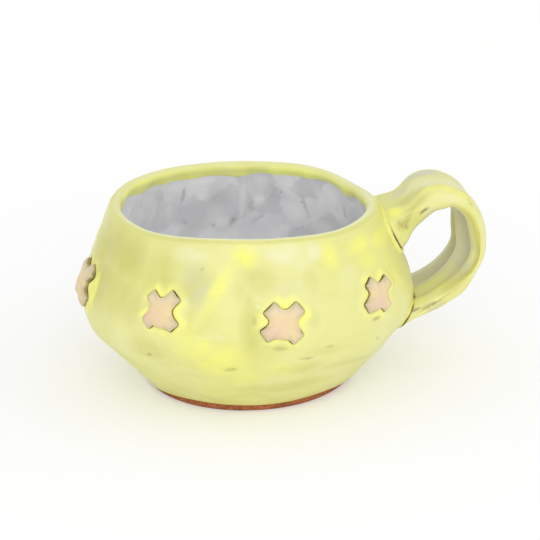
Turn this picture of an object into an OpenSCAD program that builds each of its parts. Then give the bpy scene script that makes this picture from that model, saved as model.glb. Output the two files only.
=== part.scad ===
// Hand-built espresso cup in red earthenware: a squat bowl with a rounded belly, a pulled strap handle,
// a ring of applied crosses, a bright outer glaze and a pale liner glaze.
// The origin is the centre of the foot's underside, +Z is up and the handle points along +X.

/* [Bowl] */
// Diameter over the belly
belly_d = 84; // [80:0.5:92]
// Height of the belly's widest ring
belly_z = 23.2; // [21:0.1:25]
// Radius of the belly's curve in section
belly_round = 14.5; // [12:0.5:16]
// Diameter over the lip
rim_d = 69; // [64:0.5:73]
// Height over the lip
cup_h = 45.8; // [44:0.2:50]
// Diameter of the foot
foot_d = 55; // [52:0.5:60]
// Height of the foot's upright edge
foot_h = 1.8; // [1.6:0.1:3]
// Chamfer round the underside of the foot
foot_chamfer = 0.5; // [0.2:0.1:0.8]
// Thickness of the clay at the belly
wall_t = 3.2; // [2.4:0.1:4]
// Thickness of the clay at the lip
lip_t = 2.3; // [1.8:0.1:3]
// Thickness of the clay under the floor
floor_t = 4.4; // [3.6:0.1:5.4]
// Height of the pressed base, where the wall is luted on
base_h = 9; // [8.4:0.1:11]
// Radius of the cove between floor and wall
cove_r = 5; // [3:0.5:6]

/* [Glaze] */
// Thickness of the glaze coats
glaze_t = 0.4; // [0.3:0.05:0.6]
// Height of the bare clay band at the foot
bare_h = 1.5; // [0.8:0.1:1.5]
// Depth that the outer glaze runs down inside the lip
lip_run = 4; // [3:0.1:6]

/* [Handle] */
// Width of the clay strap
strap_w = 20.2; // [16:0.2:22]
// Thickness of the clay strap
strap_t = 4.8; // [4:0.1:6]
// Depth of the groove down each face of the strap
groove_d = 0.55; // [0.2:0.05:0.8]
// Distance from the cup's axis to the outside of the strap's loop
handle_reach = 61; // [57:0.2:66]
// Height of the loop's outermost point
loop_z = 33.1; // [31:0.1:35]
// Height of the middle of the upper root
upper_z = 37.9; // [36.5:0.1:38.2]
// Angle above level at which the strap leaves the upper root
upper_rise = 54; // [48:1:56]
// Thickness of the strap at the upper root
upper_root_t = 8; // [6:0.1:8.4]
// Height of the middle of the lower root
lower_z = 15.6; // [14.8:0.1:17]
// Angle above level at which the strap leaves the lower root
lower_rise = 20; // [12:1:28]
// Thickness of the strap at the lower root
lower_root_t = 5.6; // [4.8:0.1:6.4]
// Width of the strap at both roots
root_w = 21.6; // [18:0.2:23]
// Length over which the strap widens to a root
flare_l = 13; // [9:0.5:15]
// Width of the slip that shows round each root
slip_edge = 0.4; // [0.3:0.05:0.8]

/* [Crosses] */
// Number of crosses round the belly
cross_count = 8; // [4:1:8]
// Angle from the handle to the first cross
cross_first = 47; // [42:1:50]
// Angle from one cross to the next
cross_pitch = 40; // [39:0.5:41]
// Height of the crosses' centres
cross_z = 29; // [27:0.1:30]
// Length of an arm from the centre of a cross
cross_arm = 5.6; // [5:0.1:6.8]
// Width of an arm
cross_w = 3.5; // [3:0.1:4.4]
// Radius in the crotches of a cross
crotch_r = 2.2; // [0.8:0.1:2.4]
// Radius on the corners of the arms
tip_r = 0.6; // [0.4:0.1:1.4]
// Height of a cross's crown above the glaze
cross_crown = 1.8; // [0.8:0.1:2.2]
// Radius of a cross's domed face
cross_dome = 20; // [16:1:30]
// Crevice between a cross and the glaze round it
crevice = 0.15; // [0.1:0.05:0.3]

/* [Hidden] */
$fn = 96;
belly_steps = 14;
lip_steps = 10;
cove_steps = 6;
corner_steps = 5;
clay = "#94583a";
yellow = "#e9e89c";
pale = "#c3c2c6";
peach = "#f2dbb4";
slip = "#6f4630";

// How far the hidden ends of a strap or a prism run on past the surface that trims them
overrun = 4;
// Lengths of the strap's four curve handles: from the upper root, into and out of the loop, to the lower root
upper_pull = 16.8;
loop_in = 14.8;
loop_out = 10;
lower_pull = 8.2;
strap_steps = 18;
strap_sides = 28;
// Squareness of the strap's section, 1 for an ellipse and less for a fuller edge
strap_full = 0.75;
// Share of the strap's half width that its groove spreads over
groove_spread = 0.42;
// How each cross strayed as it was pressed on by hand: turn about the cup, lift and tilt
strays = [
    [-0.8, 0.3, -19],
    [-1.9, -1.1, -8],
    [-0.5, 0.7, 4],
    [7, -0.7, 5],
    [10, 0.3, 2],
    [7, -0.5, -3],
    [4, 0.4, 4],
    [1, 0, -2]
];

lip_r = lip_t / 2 + glaze_t;
lip_c = [rim_d / 2 - lip_r, cup_h - lip_r];
belly_c = [belly_d / 2 - belly_round, belly_z];
foot_p = [foot_d / 2, foot_h];
lip_end_z = cup_h - lip_run;
// A surface of the bowl in section, by its signed distance from three things:
// the lip's centre, the belly's centre and the foot's edge
OUTSIDE = [lip_r, belly_round, 0];
CLAY_OUT = [lip_t / 2, belly_round - glaze_t, -glaze_t];
CLAY_IN = [-lip_t / 2, belly_round - glaze_t - wall_t, -glaze_t - wall_t];
INSIDE = [-lip_r, belly_round - 2 * glaze_t - wall_t, -2 * glaze_t - wall_t];
lower_a = touch(foot_p, 0, belly_c, belly_round, -1);
foot_clay_r = foot_d / 2 - glaze_t;
foot_clay_z = foot_h + glaze_t * tan(-lower_a / 2);
cove_z = floor_t + glaze_t + cove_r;
cove_c = [line_r(foot_p, INSIDE[2] - cove_r, lower_a, cove_z), cove_z];

function dir(a) = [cos(a), sin(a)];

// Angle of the normal of a line that touches two circles of signed radius rp and rq
function touch(p, rp, q, rq, side) = let (d = q - p) atan2(d.y, d.x) + side * acos((rp - rq) / norm(d));

// Radius, at height z, of the line with normal angle a that passes p at signed distance rp
function line_r(p, rp, a, z) = (dir(a) * p + rp - sin(a) * z) / cos(a);

function upper_a(s) = touch(lip_c, s[0], belly_c, s[1], 1);

// Radius of a surface of the bowl at height z
function radius(s, z) =
    z < belly_c.y + s[1] * sin(lower_a) ? line_r(foot_p, s[2], lower_a, z) :
    z > belly_c.y + s[1] * sin(upper_a(s)) ? line_r(lip_c, s[0], upper_a(s), z) :
    belly_c.x + sqrt(s[1] * s[1] - pow(z - belly_c.y, 2));

function arc(c, r, from, to, steps) = [for (i = [0:steps]) c + r * dir(from + (to - from) * i / steps)];

function reversed(list) = [for (i = [len(list) - 1:-1:0]) list[i]];

function belly(s) = arc(belly_c, s[1], lower_a, upper_a(s), belly_steps);

function cove(r) = arc(cove_c, r, -90, lower_a, cove_steps);

// The lip from the outer surface over the top to the inner one
function lip(r, outer, inner) = arc(lip_c, r, upper_a(outer), 180 + upper_a(inner), lip_steps);

function ring_point(s, z) = [radius(s, z), z];

// Everything inside one of the bowl's two outer surfaces, as a plain solid
module filled(s, foot_r, foot_z) {
    top = arc(lip_c, s[0], upper_a(s), 90, lip_steps);
    rotate_extrude()
        polygon(concat([[0, 0], [foot_r, 0], [foot_r, foot_z]], belly(s), top, [[0, lip_c.y + s[0]]]));
}

module filled_outside() filled(OUTSIDE, foot_d / 2, foot_h);

module filled_clay() filled(CLAY_OUT, foot_clay_r, foot_clay_z);

module base() {
    color(clay)
        rotate_extrude()
            polygon(concat(
                [[0, 0], [foot_clay_r - foot_chamfer, 0]],
                [[foot_clay_r, foot_chamfer], [foot_clay_r, foot_clay_z]],
                [ring_point(CLAY_OUT, base_h), ring_point(CLAY_IN, base_h)],
                reversed(cove(cove_r + glaze_t)),
                [[0, floor_t]]
            ));
}

module wall() {
    color(clay)
        rotate_extrude()
            polygon(concat(
                [ring_point(CLAY_OUT, base_h)],
                belly(CLAY_OUT),
                lip(lip_t / 2, CLAY_OUT, CLAY_IN),
                reversed(belly(CLAY_IN)),
                [ring_point(CLAY_IN, base_h)]
            ));
}

module liner_glaze() {
    color(pale)
        rotate_extrude()
            polygon(concat(
                [[0, floor_t]],
                cove(cove_r + glaze_t),
                belly(CLAY_IN),
                [ring_point(CLAY_IN, lip_end_z), ring_point(INSIDE, lip_end_z)],
                reversed(belly(INSIDE)),
                reversed(cove(cove_r)),
                [[0, floor_t + glaze_t]]
            ));
}

module glaze_skin() {
    rotate_extrude()
        polygon(concat(
            [[foot_d / 2, bare_h], foot_p],
            belly(OUTSIDE),
            lip(lip_r, OUTSIDE, INSIDE),
            [ring_point(INSIDE, lip_end_z), ring_point(CLAY_IN, lip_end_z)],
            reversed(lip(lip_t / 2, CLAY_OUT, CLAY_IN)),
            reversed(belly(CLAY_OUT)),
            [[foot_clay_r, foot_clay_z], [foot_clay_r, bare_h]]
        ));
}

module outer_glaze() {
    color(yellow)
        difference() {
            glaze_skin();
            root_stub(0, slip_edge);
            root_stub(1, slip_edge);
            for (i = [1:cross_count])
                cross_prism(i, crevice);
        }
}

// The strap's middle line in its upright plane, from the upper root to the lower one
loop_p = [handle_reach - glaze_t - strap_t / 2, loop_z];
upper_p = ring_point(OUTSIDE, upper_z);
lower_p = ring_point(OUTSIDE, lower_z);
UPPER_CURVE = [upper_p, upper_p + upper_pull * dir(upper_rise), loop_p + [0, loop_in], loop_p];
LOWER_CURVE = [loop_p, loop_p - [0, loop_out], lower_p + lower_pull * dir(lower_rise), lower_p];

function bezier(c, t) =
    pow(1 - t, 3) * c[0] + 3 * pow(1 - t, 2) * t * c[1] + 3 * (1 - t) * t * t * c[2] + pow(t, 3) * c[3];

function bezier_way(c, t) =
    let (
        d = pow(1 - t, 2) * (c[1] - c[0]) + 2 * (1 - t) * t * (c[2] - c[1]) + t * t * (c[3] - c[2])
    )
    d / norm(d);

// One station of the strap: middle, way along it, distance to the nearer end and that end's thickness
function station(curve, t) =
    let (upper = curve == UPPER_CURVE, p = bezier(curve, t), end = upper ? curve[0] : curve[3])
    [p, bezier_way(curve, t), norm(p - end), upper ? upper_root_t : lower_root_t];

function run_on(s, side) = [s[0] + side * overrun * s[1], s[1], 0, s[3]];

UPPER_HALF = [for (i = [0:strap_steps]) station(UPPER_CURVE, i / strap_steps)];
LOWER_HALF = [for (i = [1:strap_steps]) station(LOWER_CURVE, i / strap_steps)];
STATIONS = concat(
    [run_on(UPPER_HALF[0], -1)], UPPER_HALF, LOWER_HALF, [run_on(LOWER_HALF[strap_steps - 1], 1)]
);

function flare(s) = pow(max(0, 1 - s[2] / flare_l), 2);

function signed_pow(x, e) = sign(x) * pow(abs(x), e);

// One corner of the strap's section, with a groove down the middle of both faces
function strap_corner(s, a, grow) =
    let (
        w = strap_w + (root_w - strap_w) * flare(s),
        t = strap_t + (s[3] - strap_t) * flare(s),
        across = signed_pow(cos(a), strap_full),
        groove = groove_d * (1 - flare(s)) * exp(-pow(across / groove_spread, 2)),
        y = across * (w / 2 + grow),
        n = signed_pow(sin(a), strap_full) * (t / 2 + grow - groove)
    )
    [s[0].x - s[1].y * n, y, s[0].y + s[1].x * n];

function strap_ring(s, grow) = [for (i = [0:strap_sides - 1]) strap_corner(s, -360 * i / strap_sides, grow)];

// Triangles of a tube wall between rings that start at point first
function tube_faces(rings, first) = [
    for (r = [0:rings - 2], i = [0:strap_sides - 1], half = [0, 1])
        let (
            a = first + r * strap_sides + i,
            b = first + r * strap_sides + (i + 1) % strap_sides,
            c = a + strap_sides,
            d = b + strap_sides
        )
        half == 0 ? [a, b, d] : [a, d, c]
];

function flipped(faces) = [for (f = faces) reversed(f)];

// A closed length of the strap, grown on every side
module strap_length(stations, grow) {
    rings = len(stations);
    last = (rings - 1) * strap_sides;
    polyhedron(
        points = [for (s = stations) each strap_ring(s, grow)],
        faces = concat(
            tube_faces(rings, 0),
            [[for (i = [strap_sides - 1:-1:0]) i]],
            [[for (i = [0:strap_sides - 1]) last + i]]
        )
    );
}

// The end of the strap at a root, 0 for the upper one and 1 for the lower one, grown to the slip's edge
module root_stub(root, edge) {
    stub = 4;
    count = len(STATIONS);
    first = root == 0 ? 0 : count - 1 - stub;
    picked = [for (i = [first:first + stub]) STATIONS[i]];
    strap_length(picked, glaze_t + edge);
}

module handle_strap() {
    color(clay)
        difference() {
            strap_length(STATIONS, 0);
            filled_outside();
        }
}

module handle_glaze() {
    rings = len(STATIONS);
    inner = rings * strap_sides;
    last = (rings - 1) * strap_sides;
    color(yellow)
        difference() {
            polyhedron(
                points = [for (grow = [glaze_t, 0], s = STATIONS) each strap_ring(s, grow)],
                faces = concat(
                    tube_faces(rings, 0),
                    flipped(tube_faces(rings, inner)),
                    [
                        for (end = [0, last], i = [0:strap_sides - 1], half = [0, 1])
                            let (
                                j = (i + 1) % strap_sides,
                                a = end + i,
                                b = end + j,
                                f = half == 0 ? [a, inner + b, b] : [a, inner + a, inner + b]
                            )
                            end == 0 ? f : reversed(f)
                    ]
                )
            );
            filled_outside();
        }
}

module root_slip(root) {
    color(slip)
        difference() {
            intersection() {
                root_stub(root, slip_edge);
                filled_outside();
            }
            filled_clay();
        }
}

module upper_root_slip() root_slip(0);

module lower_root_slip() root_slip(1);

function turned(p, a) = [p.x * cos(a) - p.y * sin(a), p.x * sin(a) + p.y * cos(a)];

// One arm of a cross along +X, round its two corners and into the crotch before the next arm
function cross_arm_points(grow) =
    let (
        half = cross_w / 2,
        corner = [cross_arm - tip_r, half - tip_r],
        crotch = half + crotch_r
    )
    concat(
        arc([corner.x, -corner.y], tip_r + grow, -90, 0, corner_steps),
        arc(corner, tip_r + grow, 0, 90, corner_steps),
        arc([crotch, crotch], crotch_r - grow, 270, 180, corner_steps)
    );

module cross_outline(grow) {
    polygon([for (turn = [45:90:315], p = cross_arm_points(grow)) turned(p, turn)]);
}

// Angle above level of the bowl's outward normal at height z
function normal_a(z) =
    let (rise = min(1, max(-1, (z - belly_c.y) / belly_round)))
    min(upper_a(OUTSIDE), max(lower_a, asin(rise)));

// Places a cross's own frame on the bowl, with +Z pointing straight out of the glaze
module at_cross(i) {
    stray = strays[(i - 1) % len(strays)];
    z = cross_z + stray[1];
    rotate(-cross_first - (i - 1) * cross_pitch - stray[0])
        translate([radius(OUTSIDE, z), 0, z])
            rotate([0, 90 - normal_a(z), 0])
                rotate(stray[2])
                    children();
}

module cross_prism(i, grow) {
    at_cross(i)
        translate([0, 0, -overrun])
            linear_extrude(2 * overrun)
                cross_outline(grow);
}

module cross(i) {
    color(peach)
        difference() {
            intersection() {
                cross_prism(i, 0);
                at_cross(i)
                    translate([0, 0, cross_crown - cross_dome])
                        sphere(cross_dome);
            }
            filled_clay();
        }
}

base();
wall();
liner_glaze();
outer_glaze();
handle_strap();
handle_glaze();
upper_root_slip();
lower_root_slip();
for (i = [1:cross_count])
    cross(i);
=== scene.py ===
"""A hand-built espresso cup in red earthenware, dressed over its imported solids.

Shapes are worked out in millimetres in the part's own frame and written as meshes in metres. The origin is
the centre of the foot's underside, +Z is up and the handle points along +X. The skin of the bowl is one
curve in section: it starts at the foot, climbs the outside, rolls over the lip and runs down the inside to
the middle of the floor. A place on it is a turn about the axis, a distance along that curve and a height.
"""

import functools
import math

import bpy
import numpy as np
from mathutils import Matrix, Vector


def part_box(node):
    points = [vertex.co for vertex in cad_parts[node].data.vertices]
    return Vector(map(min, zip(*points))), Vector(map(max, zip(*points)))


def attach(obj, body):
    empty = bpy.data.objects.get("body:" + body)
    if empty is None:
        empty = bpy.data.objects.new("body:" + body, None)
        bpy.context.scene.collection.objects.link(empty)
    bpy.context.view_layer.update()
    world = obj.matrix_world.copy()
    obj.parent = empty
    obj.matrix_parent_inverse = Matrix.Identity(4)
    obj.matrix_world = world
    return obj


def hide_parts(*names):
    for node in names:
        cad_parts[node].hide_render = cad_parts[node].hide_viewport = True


MM = 0.001

# Camera, fitted to the photograph's outline: degrees and millimetres
CAMERA_AZIMUTH = -6.5
CAMERA_ELEVATION = 22.57
CAMERA_DISTANCE = 455.4
LOOK_TILT = 19.40
LOOK_PAN = 0.80
LOOK_ROLL = -1.01
LENS = 117.0
SENSOR = 36.0

# Bowl
BELLY_ROUND = 14.5
FOOT_R = 27.5
FOOT_H = 1.8
FOOT_SOFT = 0.5
BELLY_Z = 23.2
RIM_R = 34.5
LIP_T = 2.3
WALL_T = 3.2
FLOOR_T = 4.4
COVE_R = 5.0
BASE_H = 9.0
GLAZE_T = 0.4
LIP_RUN = 4.0
BARE_H = 1.6

# Handle
STRAP_W = 20.2
STRAP_T = 4.8
STRAP_FULL = 0.6
HANDLE_REACH = 60.4
LOOP_Z = 33.1
UPPER_Z = 37.9
UPPER_RISE = 54.0
UPPER_ROOT_T = 8.0
UPPER_PULL = 16.8
LOWER_Z = 15.6
LOWER_RISE = 20.0
LOWER_ROOT_T = 5.6
LOWER_PULL = 8.2
LOOP_IN = 14.8
LOOP_OUT = 10.0
ROOT_W = 23.0
FLARE_L = 11.0
OVERRUN = 4.0

# Crosses: the four arms of those in view, by angle in degrees, length and half width
CROSS_COUNT = 8
CROSS_ARM = 5.4
CROSS_HALF_W = 1.7
CROSS_ARMS = {
    1: [(24, 6.0, 1.6), (119, 4.7, 1.8), (204, 5.7, 1.4), (296, 4.6, 1.6)],
    2: [(37, 5.7, 1.7), (130, 5.0, 1.9), (212, 5.6, 1.7), (308, 5.3, 1.7)],
    3: [(48, 5.4, 1.8), (136, 5.2, 1.4), (226, 5.3, 1.6), (316, 5.6, 1.5)],
    4: [(40, 6.6, 1.9), (127, 5.7, 2.0), (221, 5.7, 2.0), (324, 6.8, 1.9)],
}
# Clay left between two arms: right and up from the middle, and radius
CROSS_FILLS = {1: (-2.3, -1.7, 1.7), 2: (-0.5, -1.6, 1.65), 3: (0.7, -2.2, 1.9)}
CROSS_TIP_R = 0.5
CROSS_CROTCH = 1.4
CROSS_CROWN = 1.75
CROSS_DOME = 0.55
# A cross that stands prouder and flatter than the rest: crown and dome
CROSS_RELIEF = {4: (2.1, 0.3)}

# Mesh fineness
TURNS = 640
ROW_STEP = 0.42
LIP_STEP = 0.25
INSIDE_STEP = 0.6

# Strokes on the bowl, brushwork and painted light: turn in degrees, height, half width, half height, lean
# in degrees and strength
BRIGHT_STROKES = [
    (-97.5, 42.4, 4.0, 3.8, 5, 0.9), (-106.5, 35.5, 2.4, 9.5, 28, 0.85), (-113, 28.0, 2.4, 4.0, 32, 0.45),
    (-114, 22.0, 7.5, 5.0, 20, 0.65), (-105, 18.0, 8.5, 6.0, -15, 0.7), (-98, 13.0, 6.0, 4.0, -10, 0.45),
    (-117, 26.5, 4.0, 3.0, 30, 0.45), (-86, 15.5, 6.0, 3.0, 0, 0.35), (-63, 41.0, 3.0, 4.2, 0, 0.75),
    (-47, 41.4, 6.0, 2.8, 0, 1.0), (-44, 37.5, 5.0, 3.5, 20, 0.6), (-31, 40.0, 7.0, 3.0, 0, 0.75),
    (-33, 33.0, 4.0, 8.0, -10, 0.4), (-163, 28.5, 1.7, 6.0, 0, 0.9),
]
# Mostly painted highlight: the sheen along the shoulder under the lip and on the upper body, and a glint on
# the bead at the upper left of the second cross; a few are pale brush streaks lower down
CREAM_AND_HIGHLIGHT_STROKES = [
    (-93, 31.6, 0.8, 0.8, 0, 1.0), (-70, 42.4, 3.6, 3.0, 0, 0.8), (-82, 42.6, 6.5, 3.2, 0, 0.9),
    (-118, 42.4, 6.0, 3.0, 0, 0.8), (-76, 40.5, 3.0, 2.6, 10, 0.5), (-113, 28.5, 1.6, 4.0, 25, 0.45),
    (-110, 24.6, 8.0, 0.8, -6, 0.3), (-56, 35.5, 4.0, 4.5, 30, 0.35), (-144, 19.0, 6.0, 5.0, 10, 0.25),
]
# Olive smudges in the glaze, and painted shade: the darker left side of the bowl and the band round the
# lower belly
OLIVE_AND_SHADE_STROKES = [
    (-168, 38.0, 10.0, 9.0, 0, 0.75), (-158, 40.0, 10.0, 8.0, 0, 0.75), (-147, 39.0, 9.0, 8.0, 0, 0.75),
    (-160, 31.0, 11.0, 9.0, 0, 0.75), (-148, 31.0, 9.0, 8.0, 0, 0.6), (-139, 29.0, 4.0, 6.0, 0, 0.45),
    (-114, 35.5, 5.5, 6.0, 15, 0.5), (-92, 37.4, 5.0, 5.2, 0, 0.6), (-99, 34.5, 2.6, 4.0, 0, 0.35),
    (-96, 32.5, 1.6, 3.4, 0, 0.65), (-95.5, 27.0, 3.4, 9.0, 0, 0.8), (-131, 37.5, 6.0, 8.0, 0, 0.5),
    (-114, 28.0, 3.5, 5.0, 20, 0.3), (-132, 19.5, 8.0, 4.0, 0, 0.45), (-78, 15.5, 7.0, 2.6, 0, 0.45),
    (-75, 28.0, 2.2, 3.0, 0, 0.35), (-73, 36.5, 3.0, 4.0, 0, 0.35), (-88, 22.2, 5.0, 1.0, 0, 0.5),
    (-70, 19.0, 9.0, 1.6, 5, 0.35), (-80, 9.0, 14.0, 3.0, 0, 0.5), (-55, 13.0, 10.0, 2.0, 5, 0.4),
    (-103, 16.6, 2.4, 1.2, 0, 0.6),
]
GREY_STROKES = [
    (-116, 38.5, 4.0, 4.5, 10, 0.5), (-112, 34.5, 3.6, 5.0, 15, 0.5), (-82, 35.0, 5.0, 3.0, 0, 0.25),
]
DARK_DASHES = [
    (-86.5, 21.6, 1.8, 0.6, 0, 0.8), (-102.5, 16.3, 2.1, 0.7, -8, 0.75), (-132, 17.7, 1.3, 0.6, -20, 0.6),
    (-77.5, 18.4, 2.6, 0.5, 8, 0.65), (-69, 20.0, 2.0, 0.4, 6, 0.4), (-49.5, 23.9, 2.2, 0.6, 5, 0.75),
    (-48, 18.5, 1.1, 0.4, 25, 0.6), (-94.5, 28.6, 0.5, 1.4, 0, 0.6), (-113, 39.5, 0.5, 0.8, 0, 0.35),
]

# Marks in the liner glaze, in the same terms
THICK_GLAZE = [
    (104, 41.0, 4.5, 2.2, 0, 0.9), (61, 30.5, 3.8, 3.6, 10, 0.9), (78, 34.5, 2.6, 2.4, 0, 0.7),
    (85, 34.0, 1.1, 8.0, 4, 0.8), (93, 27.5, 3.2, 2.4, 0, 0.8), (130, 41.0, 3.2, 1.6, 0, 0.7),
    (118, 33.0, 1.6, 6.0, -8, 0.6), (48, 37.0, 1.8, 5.0, 6, 0.6), (50, 27.0, 7.0, 3.6, 15, 0.7),
    (38, 32.0, 4.0, 3.6, 0, 0.5), (63, 38.5, 4.0, 3.0, 0, 0.45),
]
THIN_GLAZE = [
    (112.5, 37.0, 0.7, 3.4, 4, 0.5), (56, 33.0, 0.6, 4.4, -5, 0.6), (34, 35.0, 0.8, 3.0, 10, 0.5),
    (81, 33.5, 1.4, 2.8, 0, 0.4), (89, 28.0, 1.2, 2.6, 20, 0.5), (67, 37.0, 0.6, 0.4, 0, 0.7),
    (57.5, 34.8, 0.6, 0.4, 0, 0.9), (135, 36.8, 0.6, 0.4, 20, 0.8), (126, 38.0, 1.6, 3.0, -12, 0.3),
    (96, 36.0, 4.0, 6.0, 0, 0.22), (70, 36.5, 3.6, 4.5, 0, 0.2), (110, 29.0, 1.1, 0.7, 40, 0.5),
    (97, 26.5, 0.8, 0.6, 0, 0.45), (78, 29.0, 3.0, 0.6, -35, 0.4),
]

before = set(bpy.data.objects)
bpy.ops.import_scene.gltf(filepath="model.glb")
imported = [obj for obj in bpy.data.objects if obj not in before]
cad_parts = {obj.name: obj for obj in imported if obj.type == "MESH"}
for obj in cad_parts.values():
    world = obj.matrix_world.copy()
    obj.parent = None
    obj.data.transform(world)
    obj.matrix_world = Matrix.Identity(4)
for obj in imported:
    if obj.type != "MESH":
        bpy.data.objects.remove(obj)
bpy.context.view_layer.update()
glaze_low, glaze_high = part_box("outer_glaze")
BELLY_R = (glaze_high.y - glaze_low.y) / 2 / MM
CUP_H = glaze_high.z / MM
WAVE_COUNT = 14
WAVE_PITCH = (0.6, 1.4)


def smoothstep(x, low, high):
    """0 below low, 1 above high and a soft rise between."""
    t = np.clip((x - low) / (high - low), 0, 1)
    return t * t * (3 - 2 * t)


def unit(vectors):
    """Vectors in rows, brought to a length of one."""
    return vectors / np.linalg.norm(vectors, axis=1, keepdims=True)


def waves(points, size, seed):
    """Smooth seeded unevenness, mostly between -1 and 1, with features of about the given size."""
    rng = np.random.default_rng(seed)
    ways = unit(rng.normal(size=(WAVE_COUNT, points.shape[1])))
    pitch = 2 * np.pi / size * rng.uniform(*WAVE_PITCH, size=(WAVE_COUNT, 1))
    phase = rng.uniform(0, 2 * np.pi, size=WAVE_COUNT)
    return np.sin(points @ (ways * pitch).T + phase).sum(axis=1) / math.sqrt(WAVE_COUNT)


def layered(points, table):
    """Several waves together, each by its size, height and seed."""
    return sum(height * waves(points, size, seed) for size, height, seed in table)


def wrapped(angle):
    """An angle brought to within half a turn of zero."""
    return np.remainder(angle + np.pi, 2 * np.pi) - np.pi


def bell(x, middle, half):
    """1 at the middle, falling away on both sides over about the half width."""
    return np.exp(-((x - middle) / half) ** 2)


def swells(theta, table):
    """Swells round the cup, each by its turn in radians, half width and height."""
    return sum(height * bell(wrapped(theta - turn), 0, half) for turn, half, height in table)


def ripples(x, table, wave=np.cos):
    """Even ripples together, each by its number, phase and height."""
    return sum(height * wave(number * x + phase) for number, phase, height in table)


def circle(angle, radius=1.0):
    """Places on a circle at each angle, in its own plane."""
    return np.column_stack([radius * np.cos(angle), radius * np.sin(angle)])


def turned(theta, r, z):
    """Points at a turn about the axis, a distance from it and a height."""
    return np.column_stack([circle(theta, r), np.broadcast_to(z, np.shape(theta))])


def lengths_along(points):
    """How far along a line each of its points lies."""
    return np.concatenate([[0], np.cumsum(np.linalg.norm(np.diff(points, axis=0), axis=1))])


# The bowl's skin in section


def heading(degrees):
    """Unit vector at an angle in degrees."""
    return np.array([math.cos(math.radians(degrees)), math.sin(math.radians(degrees))])


def touch(p, rp, q, rq, side):
    """Angle of the normal of a line that touches two circles of signed radius rp and rq."""
    d = q - p
    return math.degrees(math.atan2(d[1], d[0]) + side * math.acos((rp - rq) / np.linalg.norm(d)))


ARC_STEP = 2.0


def arc(centre, radius, start, end):
    """Points of an arc from one angle to another."""
    count = max(2, int(abs(end - start) / ARC_STEP))
    return [centre + radius * heading(a) for a in np.linspace(start, end, count + 1)]


lip_r = LIP_T / 2 + GLAZE_T
lip_c = np.array([RIM_R - lip_r, CUP_H - lip_r])
belly_c = np.array([BELLY_R - BELLY_ROUND, BELLY_Z])
foot_p = np.array([FOOT_R, FOOT_H])
shell_t = WALL_T + 2 * GLAZE_T
lower_a = touch(foot_p, 0, belly_c, BELLY_ROUND, -1)
upper_out = touch(lip_c, lip_r, belly_c, BELLY_ROUND, 1)
upper_in = touch(lip_c, -lip_r, belly_c, BELLY_ROUND - shell_t, 1)
cove_z = FLOOR_T + GLAZE_T + COVE_R
cove_reach = heading(lower_a) @ foot_p - shell_t - COVE_R
cove_x = (cove_reach - heading(lower_a)[1] * cove_z) / heading(lower_a)[0]
cove_c = np.array([cove_x, cove_z])


def resampled(points, step):
    """The same line with its points a step apart."""
    points = np.array(points)
    along = lengths_along(points)
    at = np.linspace(0, along[-1], int(along[-1] / step) + 1)
    return np.column_stack([np.interp(at, along, points[:, k]) for k in range(2)])


def softened(points, reach):
    """A line with its corners rounded over a number of points, both ends kept."""
    window = np.hanning(2 * reach + 3)[1:-1]
    window /= window.sum()
    padded = np.concatenate([
        2 * points[0] - points[reach:0:-1],
        points,
        2 * points[-1] - points[-2:-reach - 2:-1],
    ])
    return np.column_stack([np.convolve(padded[:, k], window, mode="valid") for k in range(2)])


SKIN_STEP = 0.1
skin = resampled(
    [np.array([FOOT_R, 0.0]), foot_p]
    + arc(belly_c, BELLY_ROUND, lower_a, upper_out)
    + arc(lip_c, lip_r, upper_out, 180 + upper_in)
    + arc(belly_c, BELLY_ROUND - shell_t, upper_in, lower_a)
    + arc(cove_c, COVE_R, lower_a, -90)
    + [np.array([0.0, FLOOR_T + GLAZE_T])],
    SKIN_STEP,
)
skin = softened(skin, int(FOOT_SOFT / SKIN_STEP))
skin[:, 0] = np.maximum(skin[:, 0], 0)
skin_s = lengths_along(skin)
skin_way = unit(np.gradient(skin, axis=0))
skin_normal = np.column_stack([skin_way[:, 1], -skin_way[:, 0]])
top_index = int(np.argmax(skin[:, 1]))
S_TOP = skin_s[top_index]
S_END = skin_s[-1]


def s_at_height(z, inside=False):
    """Distance along the skin at which its outside, or its inside, reaches a height."""
    if inside:
        return np.interp(-z, -skin[top_index:, 1], skin_s[top_index:])
    return np.interp(z, skin[:top_index, 1], skin_s[:top_index])


def r_at(s):
    """Distance from the axis at a place along the skin."""
    return np.interp(s, skin_s, skin[:, 0])


S_LIP_END = float(s_at_height(CUP_H - LIP_RUN, inside=True))

# The hand's marks

PRESS_SEED = 5
PRESS_DEPTH = 1.25
PRESS_TALL = 1.8
# Rows of finger presses inside the bowl: height, number round it and half width
PRESS_ROWS = [(40.0, 19, 5.2), (31.0, 16, 6.2), (20.0, 12, 7.2), (10.5, 8, 7.0)]
# How one press differs from the next
PRESS_SHIFT = 0.3
PRESS_LIFT = 2.5
PRESS_LEAN = 0.35
PRESS_WIDTHS = (0.8, 1.25)
PRESS_DEPTHS = (0.45, 1.0)
# Where presses, and lumps outside, start and stop: from the foot, the lip's top or the floor's middle
PRESS_START = (1.0, 5.0)
PRESS_STOP = (4.0, 14.0)
LUMP_START = (2.0, 8.0)
LUMP_STOP = (0.0, 6.0)
LUMP_R = 40.0
LUMPS = [(17, 0.3, 3), (6, 0.07, 4)]


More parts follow.
